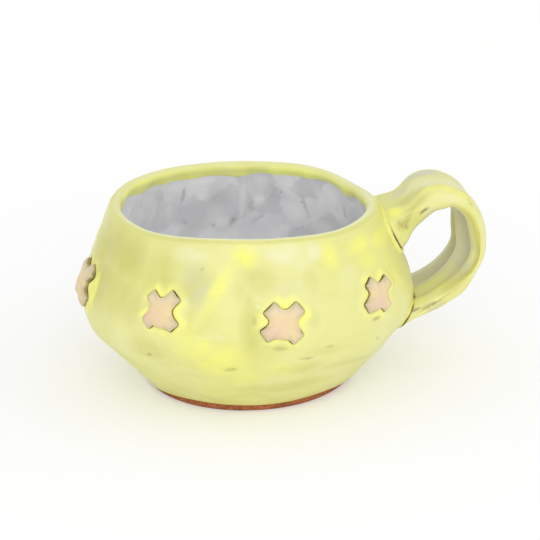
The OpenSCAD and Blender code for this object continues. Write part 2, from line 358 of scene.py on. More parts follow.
def finger_presses(theta, s):
    """Depth of the finger marks inside the bowl: hollows side by side, with ridges where they meet."""
    rng = np.random.default_rng(PRESS_SEED)
    r = r_at(s)
    total = np.zeros_like(s)
    for z, count, spread in PRESS_ROWS:
        row_s = float(s_at_height(z, inside=True))
        for k in range(count):
            turn = 2 * np.pi * (k + rng.uniform(-PRESS_SHIFT, PRESS_SHIFT)) / count
            lift = rng.uniform(-PRESS_LIFT, PRESS_LIFT)
            lean = rng.uniform(-PRESS_LEAN, PRESS_LEAN)
            wide = spread * rng.uniform(*PRESS_WIDTHS)
            depth = rng.uniform(*PRESS_DEPTHS)
            across = wrapped(theta - turn) * r
            along = s - row_s - lift
            u = across * math.cos(lean) + along * math.sin(lean)
            v = along * math.cos(lean) - across * math.sin(lean)
            far = np.hypot(u / wide, v / (PRESS_TALL * wide))
            total = np.maximum(total, depth * np.maximum(0, 1 - far * far))
    return PRESS_DEPTH * total


# How far from true the cup is: ripples round it, and swells at one side
ROUND_RIPPLES = [(2, 0.6, 0.25), (3, -1.1, 0.22), (5, 2.0, 0.12)]
FOOT_RIPPLES = [(2, 0.3, -0.6)]
RIM_RIPPLES = [(1, -2.4, 0.35), (2, 1.9, 0.25), (5, 0.0, 0.12)]
FOOT_SWELLS = [(-0.45, 0.5, 1.4), (-2.85, 0.5, 0.5)]
RIM_PINCH = [(0.1, 0.55, -1.9)]
LEFT_DENT = [(math.pi, 0.5, -0.4)]
RIM_RISES = [
    (1.75, 0.5, 0.3), (0.9, 0.3, 0.4), (0.35, 0.35, -0.9),
    (-1.85, 0.3, 0.55), (-2.5, 0.3, -0.55), (-0.98, 0.33, -0.8),
]
# The spans over which each of them comes in or fades: heights, and for FOOT_WIDE distances from the axis
ROUND_RISE = (3, 34)
FOOT_FADE = (2, 17)
FOOT_WIDE = (8, 26)
SWELL_RISE = (0, 3)
SWELL_FADE = (4, 16)
PINCH_RISE = (20, 45)
LIFT_FROM = 18
# The dent comes in, goes and comes in again: start, end and direction
DENT_STEPS = [(12, 18, 1), (21, 25, -1), (34, 40, 1)]
# How far out from the belly all of it fades, along the handle
HANDLE_FADE = (1, 9)


def hand_warp(points):
    """The cup as it left the hand: out of round and uneven at the rim, but flat on its foot."""
    theta = np.arctan2(points[:, 1], points[:, 0])
    r, z = np.hypot(points[:, 0], points[:, 1]), points[:, 2]
    near = 1 - smoothstep(r - BELLY_R, *HANDLE_FADE)
    low = smoothstep(z, *SWELL_RISE) * (1 - smoothstep(z, *SWELL_FADE))
    plain = sum(way * smoothstep(z, start, end) for start, end, way in DENT_STEPS)
    out = ripples(theta, ROUND_RIPPLES) * smoothstep(z, *ROUND_RISE)
    out += ripples(theta, FOOT_RIPPLES) * (1 - smoothstep(z, *FOOT_FADE)) * smoothstep(r, *FOOT_WIDE)
    out += swells(theta, FOOT_SWELLS) * low
    out += swells(theta, RIM_PINCH) * smoothstep(z, *PINCH_RISE)
    out += swells(theta, LEFT_DENT) * plain
    lift = ripples(theta, RIM_RIPPLES) + swells(theta, RIM_RISES)
    moved = points.copy()
    moved[:, :2] += circle(theta, out * near)
    moved[:, 2] += lift * smoothstep(z, LIFT_FROM, CUP_H) * near
    return moved


def on_bowl(theta, s, h):
    """Places on the bowl, from their turn, their distance along the skin and their height off it."""
    theta, s, h = (np.asarray(x, float).ravel() for x in np.broadcast_arrays(theta, s, h))
    pressed = smoothstep(s - S_TOP, *PRESS_START) * smoothstep(S_END - s, *PRESS_STOP)
    lumpy = smoothstep(s, *LUMP_START) * smoothstep(S_TOP - s, *LUMP_STOP)
    h = h + lumpy * layered(turned(theta, LUMP_R, s), LUMPS)
    h = h - pressed * finger_presses(theta, s)
    r = r_at(s) + h * np.interp(s, skin_s, skin_normal[:, 0])
    z = np.interp(s, skin_s, skin[:, 1]) + h * np.interp(s, skin_s, skin_normal[:, 1])
    return hand_warp(turned(theta, r, z))


RIM_EDGE_WAVES = [(1.6, 0.55, 21), (0.5, 0.25, 22)]
FOOT_EDGE_WAVES = [(1.2, 0.1, 31), (0.35, 0.05, 32)]
GLAZE_RUNS = [(-2.95, 0.45, 1.0), (-0.35, 0.4, 0.9)]


def rim_edge(theta):
    """Where the outer glaze stops inside the lip, a wavy line."""
    return S_LIP_END + layered(circle(theta), RIM_EDGE_WAVES)


def foot_edge(theta):
    """Where the outer glaze stops above the foot, a wavy line that runs lower in two places."""
    return BARE_H - swells(theta, GLAZE_RUNS) + layered(circle(theta), FOOT_EDGE_WAVES)


# Brushwork, painted highlight and painted shade

HIDDEN_FROM = -14.0
HIDDEN_TO = 176.0
HIDDEN_STROKES = 11
HIDDEN_GROW = (0.7, 1.2)
HIDDEN_SHIFT = (-3, 2)
STROKE_EDGE = (0.2, 1.15)
LIP_LAP = 1.0


def with_hidden(strokes, seed):
    """Strokes listed for the side in view, and like ones scattered over the side that is not."""
    rng = np.random.default_rng(seed)
    whole = list(strokes)
    for k in range(HIDDEN_STROKES):
        _, height, wide, tall, lean, strength = strokes[k % len(strokes)]
        turn = HIDDEN_FROM + (HIDDEN_TO - HIDDEN_FROM) * (k + rng.uniform(0, 1)) / HIDDEN_STROKES
        grow = rng.uniform(*HIDDEN_GROW)
        height = height + rng.uniform(*HIDDEN_SHIFT)
        whole.append((turn, height, wide * grow, tall * grow, -lean, strength))
    return whole


def painted(theta, s, strokes, inside=False):
    """How strongly a set of strokes covers each place on the bowl's outside, or inside, from 0 to 1."""
    total = np.zeros_like(s)
    side = s > S_TOP - LIP_LAP if inside else s < S_TOP + LIP_LAP
    r = r_at(s[side])
    for turn, height, wide, tall, lean, strength in strokes:
        across = wrapped(theta[side] - math.radians(turn)) * r
        along = s[side] - float(s_at_height(height, inside))
        c, d = heading(lean)
        far = np.hypot((across * c - along * d) / wide, (across * d + along * c) / tall)
        total[side] = np.maximum(total[side], strength * (1 - smoothstep(far, *STROKE_EDGE)))
    return total


# Mesh helpers


def numbered(rows, columns):
    """The point numbers of a grid, row by row."""
    return np.arange(rows * columns).reshape(rows, columns)


def ring_faces(index, closed_rows=False):
    """Quads of a grid of point numbers whose columns run all the way round."""
    ahead = np.roll(index, -1, axis=1)
    if closed_rows:
        above, above_ahead = np.roll(index, -1, axis=0), np.roll(ahead, -1, axis=0)
        return np.stack([index, ahead, above_ahead, above], axis=-1)
    return np.stack([index[:-1], ahead[:-1], ahead[1:], index[1:]], axis=-1)


def band_faces(before, after):
    """Quads between two closed rings of point numbers."""
    return np.stack([before, np.roll(before, -1), np.roll(after, -1), after], axis=-1)


def fan_faces(ring, centre, outward):
    """Triangles from a closed ring of point numbers to one centre point."""
    ahead = np.roll(ring, -1)
    tip = np.full_like(ring, centre)
    return np.stack([ring, ahead, tip] if outward else [ahead, ring, tip], axis=-1)


def capped_faces(index):
    """Faces of a grid whose columns run all the way round, with a fan at each end to a point after it."""
    return [
        ring_faces(index),
        fan_faces(index[0], index.size, outward=False),
        fan_faces(index[-1], index.size + 1, outward=True),
    ]


def placed(name, data):
    """A new object in the scene."""
    thing = bpy.data.objects.new(name, data)
    bpy.context.scene.collection.objects.link(thing)
    return thing


def make_piece(name, points, faces, slot, nodes, attributes=None):
    """A smooth mesh piece that rides on the body and stands for the given nodes."""
    mesh = bpy.data.meshes.new(name)
    polygons = [face for part in faces for face in part.reshape(-1, part.shape[-1]).tolist()]
    mesh.from_pydata((points * MM).tolist(), [], polygons)
    mesh.polygons.foreach_set("use_smooth", [True] * len(mesh.polygons))
    for key, values in (attributes or {}).items():
        layer = mesh.attributes.new(key, "FLOAT", "POINT")
        layer.data.foreach_set("value", np.asarray(values, np.float32))
    mesh.materials.append(MATERIALS[slot])
    mesh.update()
    piece = placed(name, mesh)
    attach(piece, "root")
    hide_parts(*nodes)


def without_unused(points, faces, attributes):
    """Drops the points that no face uses and renumbers the rest."""
    used = np.unique(np.concatenate([part.ravel() for part in faces]))
    number = np.full(len(points), -1)
    number[used] = np.arange(len(used))
    return points[used], [number[part] for part in faces], {k: v[used] for k, v in attributes.items()}


# The outline of a cross

CROSS_SEED = 100
# How far the arms of the crosses out of view may stray: degrees, length and half width
ARM_STRAY = (5, 0.3, 0.12)
FARTHEST = 14.0
HALVINGS = 36
TIP_SPAN = (3.5, 4.9)
OPENING_SEED = 300
OPENING_SIZE = 0.9
OPENING_SPAN = (-0.9, 0.6)


class Cross:
    """One applied cross: where it sits on the bowl and the outline it was cut to."""

    def __init__(self, number):
        low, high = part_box(f"cross_{number}")
        middle = (low + high) / 2 / MM
        strays = np.random.default_rng(CROSS_SEED + number).uniform(-1, 1, size=(4, 3)) * ARM_STRAY
        self.number = number
        self.theta = math.atan2(middle.y, middle.x)
        self.s = float(s_at_height(middle.z))
        self.r = float(r_at(self.s))
        loose = [
            (45 + 90 * k + turn, CROSS_ARM + longer, CROSS_HALF_W + wider)
            for k, (turn, longer, wider) in enumerate(strays)
        ]
        self.arms = CROSS_ARMS.get(number, loose)
        self.fill = CROSS_FILLS.get(number)

    def distance(self, a, b):
        """Signed distance from the outline, at a to the right and b up from the middle."""
        parts = []
        for angle, length, half_w in self.arms:
            c, d = heading(angle)
            parts.append(self.bar(a * c + b * d, b * c - a * d, length, half_w))
        if self.fill is not None:
            right, up, radius = self.fill
            parts.append(np.hypot(a - right, b - up) - radius)
        return functools.reduce(self.joined, parts)

    @staticmethod
    def joined(one, other):
        """Two signed distances run together with a soft crotch."""
        blend = np.maximum(CROSS_CROTCH - np.abs(one - other), 0) / CROSS_CROTCH
        return np.minimum(one, other) - blend * blend * CROSS_CROTCH / 4

    @staticmethod
    def bar(u, v, length, half_w):
        """Signed distance from one straight arm with its corners just rounded."""
        qx = np.abs(u - (length - half_w) / 2) - ((length + half_w) / 2 - CROSS_TIP_R)
        qy = np.abs(v) - (half_w - CROSS_TIP_R)
        outer = np.hypot(np.maximum(qx, 0), np.maximum(qy, 0))
        return outer + np.minimum(np.maximum(qx, qy), 0) - CROSS_TIP_R

    def reach(self, angle, grow):
        """Distance from the middle, at each angle, to the outline grown by an amount."""
        low, high = np.zeros_like(angle), np.full_like(angle, FARTHEST)
        for _ in range(HALVINGS):
            mid = (low + high) / 2
            inside = self.distance(*circle(angle, mid).T) < grow
            low, high = np.where(inside, mid, low), np.where(inside, high, mid)
        return (low + high) / 2

    def tipness(self, angle):
        """1 round the end of an arm and 0 in the crotch between two."""
        return smoothstep(self.reach(angle, 0.0), *TIP_SPAN)

    def opening(self, angle):
        """How far the crevice round the cross has opened, in patches at the ends of the arms."""
        uneven = waves(circle(angle), OPENING_SIZE, OPENING_SEED + self.number)
        return self.tipness(angle) * smoothstep(uneven, *OPENING_SPAN)

    def place(self, a, b, h):
        """Points on the bowl at a to the right, b up and h off the skin."""
        return on_bowl(self.theta + a / self.r, self.s + b, h)


crosses = [Cross(number + 1) for number in range(CROSS_COUNT)]


# Materials

FACET_NOISE = 90
FACET_SOFT = 0.25


class Nodes:
    """The nodes of a material or a world, with short calls for adding them."""

    def __init__(self, owner):
        owner.use_nodes = True
        self.tree = owner.node_tree

    def feed(self, socket, value):
        """Links another node's output to a socket, or gives it a plain value."""
        if isinstance(value, bpy.types.NodeSocket):
            self.tree.links.new(value, socket)
        else:
            socket.default_value = value

    def add(self, kind, inputs=None, **settings):
        """A new node, with its inputs by name or number."""
        node = self.tree.nodes.new("ShaderNode" + kind)
        for key, value in settings.items():
            setattr(node, key, value)
        for key, value in (inputs or {}).items():
            self.feed(node.inputs[key], value)
        return node

    def span(self, value, low, high, to_low=0.0, to_high=1.0):
        """A value carried from one span to another, softly and clamped."""
        inputs = {"Value": value, "From Min": low, "From Max": high, "To Min": to_low, "To Max": to_high}
        return self.add("MapRange", inputs, interpolation_type="SMOOTHSTEP").outputs["Result"]

    def mix(self, share, a, b):
        """Colour a, with colour b laid over it by a share."""
        node = self.add("Mix", {"Factor": share}, data_type="RGBA")
        colours = [x for x in node.inputs if x.type == "RGBA"]
        for socket, value in zip(colours, (a, b)):
            self.feed(socket, (*value, 1.0) if isinstance(value, tuple) else value)
        return next(x for x in node.outputs if x.type == "RGBA")


class Shader(Nodes):
    """A material with a Principled surface and short calls for the textures that feed it."""

    def __init__(self, name):
        self.material = bpy.data.materials.new(name)
        super().__init__(self.material)
        self.place = self.add("TexCoord").outputs["Object"]

    def noise(self, scale, detail=3.0, roughness=0.5, stretch=(1, 1, 1), distortion=0.0):
        """Noise over the piece, by features per metre, stretched along the axes."""
        place = self.add("Mapping", {"Vector": self.place, "Scale": stretch}).outputs["Vector"]
        inputs = {"Vector": place, "Scale": scale, "Detail": detail, "Roughness": roughness}
        return self.add("TexNoise", {**inputs, "Distortion": distortion}).outputs["Fac"]

    def facets(self, scale, wobble):
        """A tone for each cell of the piece, with edges made uneven by noise."""
        cloud = self.add("TexNoise", {"Vector": self.place, "Scale": FACET_NOISE}).outputs["Color"]
        shift = self.add("VectorMath", {0: cloud, 1: [wobble] * 3, 2: self.place}, operation="MULTIPLY_ADD")
        inputs = {"Vector": shift.outputs["Vector"], "Smoothness": FACET_SOFT, "Scale": scale}
        cells = self.add("TexVoronoi", inputs, feature="SMOOTH_F1")
        return self.add("SeparateColor", {"Color": cells.outputs["Color"]}).outputs["Red"]

    def attribute(self, name):
        """A value that the mesh carries at each point."""
        return self.add("Attribute", attribute_name=name).outputs["Fac"]

    def times(self, a, b):
        """Two values multiplied."""
        return self.add("Math", {0: a, 1: b}, operation="MULTIPLY").outputs["Value"]

    def broken(self, name, scale, least):
        """An attribute with its strength broken up by noise, as a brush leaves it."""
        patchy = self.span(self.noise(scale, 4, 0.6, distortion=0.6), 0.35, 0.62, least, 1.0)
        return self.times(self.attribute(name), patchy)

    def coats(self, colour, *coats):
        """A colour with others laid over it in turn, each by its share."""
        for share, tone in coats:
            colour = self.mix(share, colour, tone)
        return colour

    def bump(self, height, distance, strength, **over):
        """A normal tilted by a height, over another Normal where one is given."""
        inputs = {"Height": height, "Distance": distance, "Strength": strength, **over}
        return self.add("Bump", inputs).outputs["Normal"]

    def finish(self, colour, roughness, **more):
        """The material, with its surface fed."""
        surface = self.tree.nodes["Principled BSDF"]
        for key, value in {"Base Color": colour, "Roughness": roughness, **more}.items():
            self.feed(surface.inputs[key], value)
        return self.material


def linear(red, green, blue):
    """A colour written as it shows on a screen, 0 to 255, as linear light."""
    return tuple(
        (c / 255 / 12.92) if c <= 10 else ((c / 255 + 0.055) / 1.055) ** 2.4 for c in (red, green, blue)
    )


YELLOW = linear(231, 230, 141)
YELLOW_SOFT = linear(235, 233, 156)
YELLOW_CREAM = linear(241, 240, 192)
YELLOW_OLIVE = linear(206, 202, 108)
CREVICE = linear(136, 120, 66)
# Marks on the yellow, lowest first: attribute, colour, and the grain and least strength where it breaks up
# Painted light among them: cream is mostly painted highlight, rim and ridge are painted highlight, band is
# lifted as painted light in the shaded band inside the lip, pool is partly painted light on the beads'
# upper sides, deep and groove are painted shade, and olive, with grey on the strap's inner face, is partly
# painted shade
YELLOW_MARKS = [
    ("olive", YELLOW_OLIVE, (130, 0.75)),
    ("grey", linear(216, 213, 184), (130, 0.6)),
    ("cream", YELLOW_CREAM, (130, 0.5)),
    ("bright", linear(250, 249, 122), (130, 0.5)),
    ("pool", linear(255, 254, 138), None),
    ("band", linear(252, 255, 146), None),
    ("rim", linear(246, 250, 204), None),
    ("deep", linear(218, 213, 112), None),
    ("groove", linear(190, 185, 166), None),
    ("ridge", linear(247, 246, 232), None),
    ("dash", linear(160, 152, 84), (500, 0.4)),
    ("bare", linear(128, 100, 58), (700, 0.5)),
    ("crevice", CREVICE, None),
]


def yellow_glaze():
    """Streaky yellow glaze: pale and bright brushwork, olive and grey smudges, clay where it breaks, and
    painted highlight and painted shade from its marks.
    """
    s = Shader("yellow_glaze")
    cloud = s.span(s.noise(42, 4, 0.55, distortion=0.5), 0.36, 0.64)
    drag = s.span(s.noise(150, 3, 0.6, stretch=(1, 1, 0.45), distortion=0.8), 0.5, 0.78, 0, 0.22)
    smear = s.span(s.noise(200, 4, 0.6, stretch=(0.3, 0.3, 1), distortion=0.3), 0.5, 0.75, 0, 0.22)
    colour = s.coats(YELLOW, (cloud, YELLOW_SOFT), (drag, YELLOW_CREAM), (smear, YELLOW_OLIVE))
    for name, tone, grain in YELLOW_MARKS:
        colour = s.mix(s.broken(name, *grain) if grain else s.attribute(name), colour, tone)
    rough = s.span(s.noise(220, 4), 0.3, 0.7, 0.34, 0.5)
    fine = s.bump(s.noise(650, 4, 0.6), 0.0001, 0.4)
    soft = s.bump(s.noise(120, 3, 0.5, stretch=(0.6, 0.6, 1)), 0.0006, 0.5, Normal=fine)
    return s.finish(colour, rough, Normal=soft)


def pale_glaze():
    """Pale grey-white liner glaze, whiter where it lies thick and darker where it breaks on a ridge."""
    s = Shader("pale_glaze")
    cloud = s.span(s.noise(95, 4, 0.6, distortion=0.4), 0.35, 0.65)
    panel = s.times(s.span(s.facets(95, 0.014), 0.1, 0.9, 0.0, 0.6), s.attribute("wall"))
    speck = s.span(s.noise(420, 2, 0.6), 0.72, 0.78, 0, 0.6)
    colour = s.coats(
        linear(234, 234, 238),
        (cloud, linear(244, 244, 246)),
        (panel, linear(205, 205, 208)),
        (s.broken("thick", 160, 0.6), linear(251, 250, 251)),
        (speck, linear(140, 134, 132)),
        (s.broken("thin", 420, 0.35), linear(150, 149, 150)),
    )
    rough = s.span(s.noise(240, 3), 0.3, 0.7, 0.28, 0.42)
    return s.finish(colour, rough, Normal=s.bump(s.noise(180, 3), 0.0005, 0.5))


def peach_glaze():
    """Pale peach glaze on the crosses, pinker and creamier in patches, tan towards the arms' ends with wear
    and painted shade, and clay at the cut edges.
    """
    s = Shader("peach_glaze")
    patch = s.span(s.noise(190, 2), 0.5, 0.7, 0, 0.4)
    colour = s.coats(
        linear(238, 213, 166),
        (s.attribute("cream"), linear(231, 217, 180)),
        (s.attribute("blush"), linear(234, 200, 178)),
        (patch, linear(245, 217, 152)),
        # Tan at the arms' ends: partly wear, partly painted shade where the arms curve down
        (s.attribute("edge"), linear(208, 194, 158)),
        (s.attribute("crevice"), CREVICE),
    )
    rough = s.span(s.noise(300, 3), 0.3, 0.7, 0.4, 0.55)
    return s.finish(colour, rough, Normal=s.bump(s.noise(420, 3), 0.0002, 0.5))


def terracotta():
    """Bare fired red clay with a fine grain."""
    s = Shader("terracotta")
    grain = s.span(s.noise(900, 4, 0.6), 0.35, 0.7)
    band = s.span(s.noise(120, 3), 0.35, 0.65)
    colour = s.coats(linear(164, 96, 55), (band, linear(188, 113, 68)), (grain, linear(146, 86, 50)))
    rough = s.span(grain, 0, 1, 0.75, 0.9)
    return s.finish(colour, rough, Normal=s.bump(s.noise(1400, 3), 0.0002, 0.6))


def slip_seam():
    """Slip in a luted seam, dark where the crack is open and glazed over elsewhere."""
    s = Shader("slip_seam")
    grain = s.span(s.noise(500, 3), 0.35, 0.7)
    crack = (s.attribute("open"), linear(124, 102, 64))
    colour = s.coats(linear(236, 234, 138), (grain, linear(243, 242, 140)), crack)
    return s.finish(colour, s.span(grain, 0, 1, 0.5, 0.7))


# The materials, by slot
MATERIALS = {
    "yellow_glaze": yellow_glaze(),
    "pale_glaze": pale_glaze(),
    "peach_glaze": peach_glaze(),
    "terracotta": terracotta(),
    "slip": slip_seam(),
}


def yellow_marks(count, **marks):
    """Every mark that the yellow glaze reads, blank where a coat has none of that kind."""
    return {name: marks.get(name, np.zeros(count)) for name, _, _ in YELLOW_MARKS}


# The outer glaze

thetas = np.arange(TURNS) * 2 * np.pi / TURNS
TURN = 2 * np.pi / TURNS
# How far from the foot, and past the lip's top, the coat's wavy edges draw the rows of points with them
FOOT_ZONE = 4.0
RIM_ZONE = 1.5
# The rows are finer from this far below the lip's top
LIP_ZONE = 4.0
# Inside the lip the coat lies a little thicker
INNER_LIFT = 0.12
INNER_RISE = (0, 2)
# Rows at the coat's two edges that are tucked in, and the tone of the first rows above the foot
EDGE_TUCKS = [(0, 0.25), (1, 0.06), (-1, 0.2), (-2, 0.05)]
FOOT_POOL = [[0.25], [0.35], [0.15]]
OUTER_STROKES = [
    ("bright", BRIGHT_STROKES, 61),
    ("cream", CREAM_AND_HIGHLIGHT_STROKES, 62),
    ("olive", OLIVE_AND_SHADE_STROKES, 63),
    ("dash", DARK_DASHES, 64),
]
PATCH_HALF = 9.2
PATCH_SHARES = (0.25, 0.5, 0.75)
BEAD_H = 0.45
BEAD_GROWS = [2.6, 2.2, 1.85, 1.5, 1.2, 0.95, 0.75, 0.58, 0.44, 0.32, 0.22, 0.13, 0.06, 0.0]
BEAD_CREST = 0.45
BEAD_END = 2.3
BEAD_SEED = 200
GLOW_SEED = 250
HALO_END = 2.4
POCKET_DEPTH = 0.33
POCKET_INSET = 0.03
POCKET_SHARES = (0.66, 0.33)


def bead_height(grow):
    """Height of the glaze rolled up round a cross, by the distance from its outline."""
    roll = math.sqrt(max(0.0, 1 - (1 - grow / BEAD_CREST) ** 2))
    slope = 0.5 * (1 + math.cos(math.pi * min(1.0, (grow - BEAD_CREST) / (BEAD_END - BEAD_CREST))))
    return roll if grow < BEAD_CREST else slope


def pocket_rings(cross, angle, far):
    """Rings from a patch's edge in to the pocket of its cross: reach, height, brightness and darkness."""
    swell = 1 + 0.3 * waves(circle(angle), 1.1, BEAD_SEED + cross.number)
    # The glaze pooled in the bead shows brighter in the crotches, and the sine term adds painted light on
    # the upper side of each cross
    glow = 0.8 + 0.45 * waves(circle(angle), 0.8, GLOW_SEED + cross.number) + 0.2 * np.sin(angle)
    glow *= 1.3 - 0.75 * cross.tipness(angle)
    near = cross.reach(angle, BEAD_GROWS[0])
    wall = cross.reach(angle, -POCKET_INSET)
    dark = cross.opening(angle)
    none = np.zeros_like(angle)
    deep = none - POCKET_DEPTH
    rings = [(far + (near - far) * share, none, none, none) for share in PATCH_SHARES]
    for grow in BEAD_GROWS:
        bright = np.clip(max(0.0, 1 - grow / HALO_END) * glow, 0, 1)
        rings.append((cross.reach(angle, grow), BEAD_H * bead_height(grow) * swell, bright, none))
    rings += [(wall, deep / 2, none, dark), (wall, deep, none, dark)]
    return rings + [(wall * share, deep, none, none + 1) for share in POCKET_SHARES]


# Where the painted highlight on the lip's top is strongest: turn in radians, half width and height
LIP_HIGHLIGHT_SPOT = [(-0.15, 0.45, 1.0)]
LIP_WAVE_R = 8.0
LIP_WAVE_SIZE = 5.0
LIP_WAVE_SEED = 65


def lip_painted_light(theta, s):
    """Painted light on the lip: the band inside it lifted against its shade, a highlight line along its
    front edge, a highlight on its top and a shade below.
    """
    past = s - S_TOP
    front = np.exp(-((wrapped(theta + 1.6) / 1.1) ** 4))
    patchy = 0.8 + 0.25 * waves(turned(theta, LIP_WAVE_R, s), LIP_WAVE_SIZE, LIP_WAVE_SEED)
    # The yellow band rolled inside the lip, painted brighter than the glaze as light against the shade it
    # lies in
    band = np.clip(smoothstep(past, 0.8, 2.2) * patchy * (1 - 0.9 * front), 0, 1)
    # Painted highlight along the front of the lip's edge
    line = 0.85 * front * smoothstep(past, -0.55, -0.05)
    # Painted highlight on the lip's top, strongest at the front and at one spot
    top = (0.5 + 0.5 * front) * bell(past, 0.6, 0.8) * (1 + swells(theta, LIP_HIGHLIGHT_SPOT))
    # Painted shade just under the lip at the front
    shade = 0.5 * front * bell(past, -1.2, 0.5)
    return band, line, top, shade


def patch_edge(cross, row_s):
    """The grid's rows and columns in a cross's patch, and the rows and columns of the points round it."""
    col = int(round(cross.theta / TURN))
    half_cols = int(round(PATCH_HALF / cross.r / TURN))
    row_low = int(np.argmin(np.abs(row_s - (cross.s - PATCH_HALF))))
    row_high = int(np.argmin(np.abs(row_s - (cross.s + PATCH_HALF))))
    cols = np.arange(col - half_cols, col + half_cols + 1)
    rows = np.arange(row_low, row_high + 1)
    wide, tall = np.ones(len(cols) - 1, int), np.ones(len(rows) - 1, int)
    edge_rows = np.concatenate([row_low * wide, rows[:-1], row_high * wide, rows[:0:-1]])
    edge_cols = np.concatenate([cols[:-1], cols[-1] * tall, cols[:0:-1], cols[0] * tall])
    return rows, cols, edge_rows, edge_cols


def make_outer_glaze():
    """The yellow coat: outside, over the lip, with a pocket and a rolled bead at each cross."""
    row_s = np.concatenate([
        np.arange(0, S_TOP - LIP_ZONE, ROW_STEP),
        np.arange(S_TOP - LIP_ZONE, S_LIP_END, LIP_STEP),
        [S_LIP_END],
    ])
    t, s = np.meshgrid(thetas, row_s)
    low_share = np.clip(1 - s / FOOT_ZONE, 0, 1)
    s = s + low_share * s_at_height(foot_edge(t.ravel())).reshape(t.shape)
    high_share = smoothstep(s, S_TOP + RIM_ZONE, S_LIP_END)
    s = s + high_share * (rim_edge(t.ravel()).reshape(t.shape) - S_LIP_END)
    h = INNER_LIFT * smoothstep(s - S_TOP, *INNER_RISE)
    for row, tuck in EDGE_TUCKS:
        h[row] -= tuck
    pool = np.zeros_like(s)
    pool[1:4] = FOOT_POOL
    none = np.zeros(t.size)
    cells = [
        [t.ravel(), s.ravel(), h.ravel(), pool.ravel(), none],
        [t[::-1].ravel(), s[::-1].ravel(), none - GLAZE_T, none, none],
    ]
    index = numbered(2 * len(row_s), TURNS)
    quads = ring_faces(index, closed_rows=True)
    keep = np.ones(quads.shape[:2], bool)
    count = index.size
    faces = []
    for cross in crosses:
        rows, cols, edge_rows, edge_cols = patch_edge(cross, row_s)
        keep[rows[0]:rows[-1], np.mod(cols[:-1], TURNS)] = False
        a = (edge_cols * TURN - cross.theta) * cross.r
        b = row_s[edge_rows] - cross.s
        angle = np.arctan2(b, a)
        before = index[edge_rows, np.mod(edge_cols, TURNS)]
        for reach, height, bright, shade in pocket_rings(cross, angle, np.hypot(a, b)):
            right, up = circle(angle, reach).T
            cells.append([cross.theta + right / cross.r, cross.s + up, height, bright, shade])
            ring = np.arange(count, count + len(angle))
            faces.append(band_faces(before, ring))
            before, count = ring, count + len(angle)
        cells.append([[cross.theta], [cross.s], [-POCKET_DEPTH], [0], [1]])
        faces.append(fan_faces(before, count, outward=True))
        count += 1
    faces.insert(0, quads[keep])
    theta, s, h, pool, crevice = np.concatenate(cells, axis=1)
    band, line, top, shade = lip_painted_light(theta, s)
    marks = {name: painted(theta, s, with_hidden(strokes, seed)) for name, strokes, seed in OUTER_STROKES}
    # The lip's painted highlight joins the cream marks, and its painted shade joins the olive ones
    marks["cream"] = np.maximum(marks["cream"], top)
    marks["olive"] = np.maximum(marks["olive"], shade)
    marks["grey"] = painted(theta, s, GREY_STROKES)
    # rim carries the painted highlight line on the lip, and band carries the inner band painted brighter
    # against its shade
    attributes = yellow_marks(count, pool=pool, crevice=crevice, band=band, rim=line, **marks)
    points, faces, attributes = without_unused(on_bowl(theta, s, h), faces, attributes)
    make_piece("outer_glaze_coat", points, faces, "yellow_glaze", ["outer_glaze"], attributes)


# The pads of the crosses

PAD_RAYS = 320
PAD_SHARES = [0.12, 0.25, 0.38, 0.5, 0.6, 0.69, 0.77, 0.83, 0.88, 0.92, 0.95, 0.975, 0.99, 1.0]
PAD_EDGE = 1.2
PAD_EDGE_DROP = 0.6
PAD_SPAN = 8.5
PAD_BLUR = 0.5
PAD_OFFSETS = [share * PAD_BLUR * heading(45 * k) for k in range(8) for share in (0.5, 1)]
PAD_LIFT = 0.02
GAP_LEAST = 0.015
GAP_OPEN = 0.11
DIMPLE_H = 0.05
DIMPLE_SIZE = 3.0
DIMPLE_SEED = 400


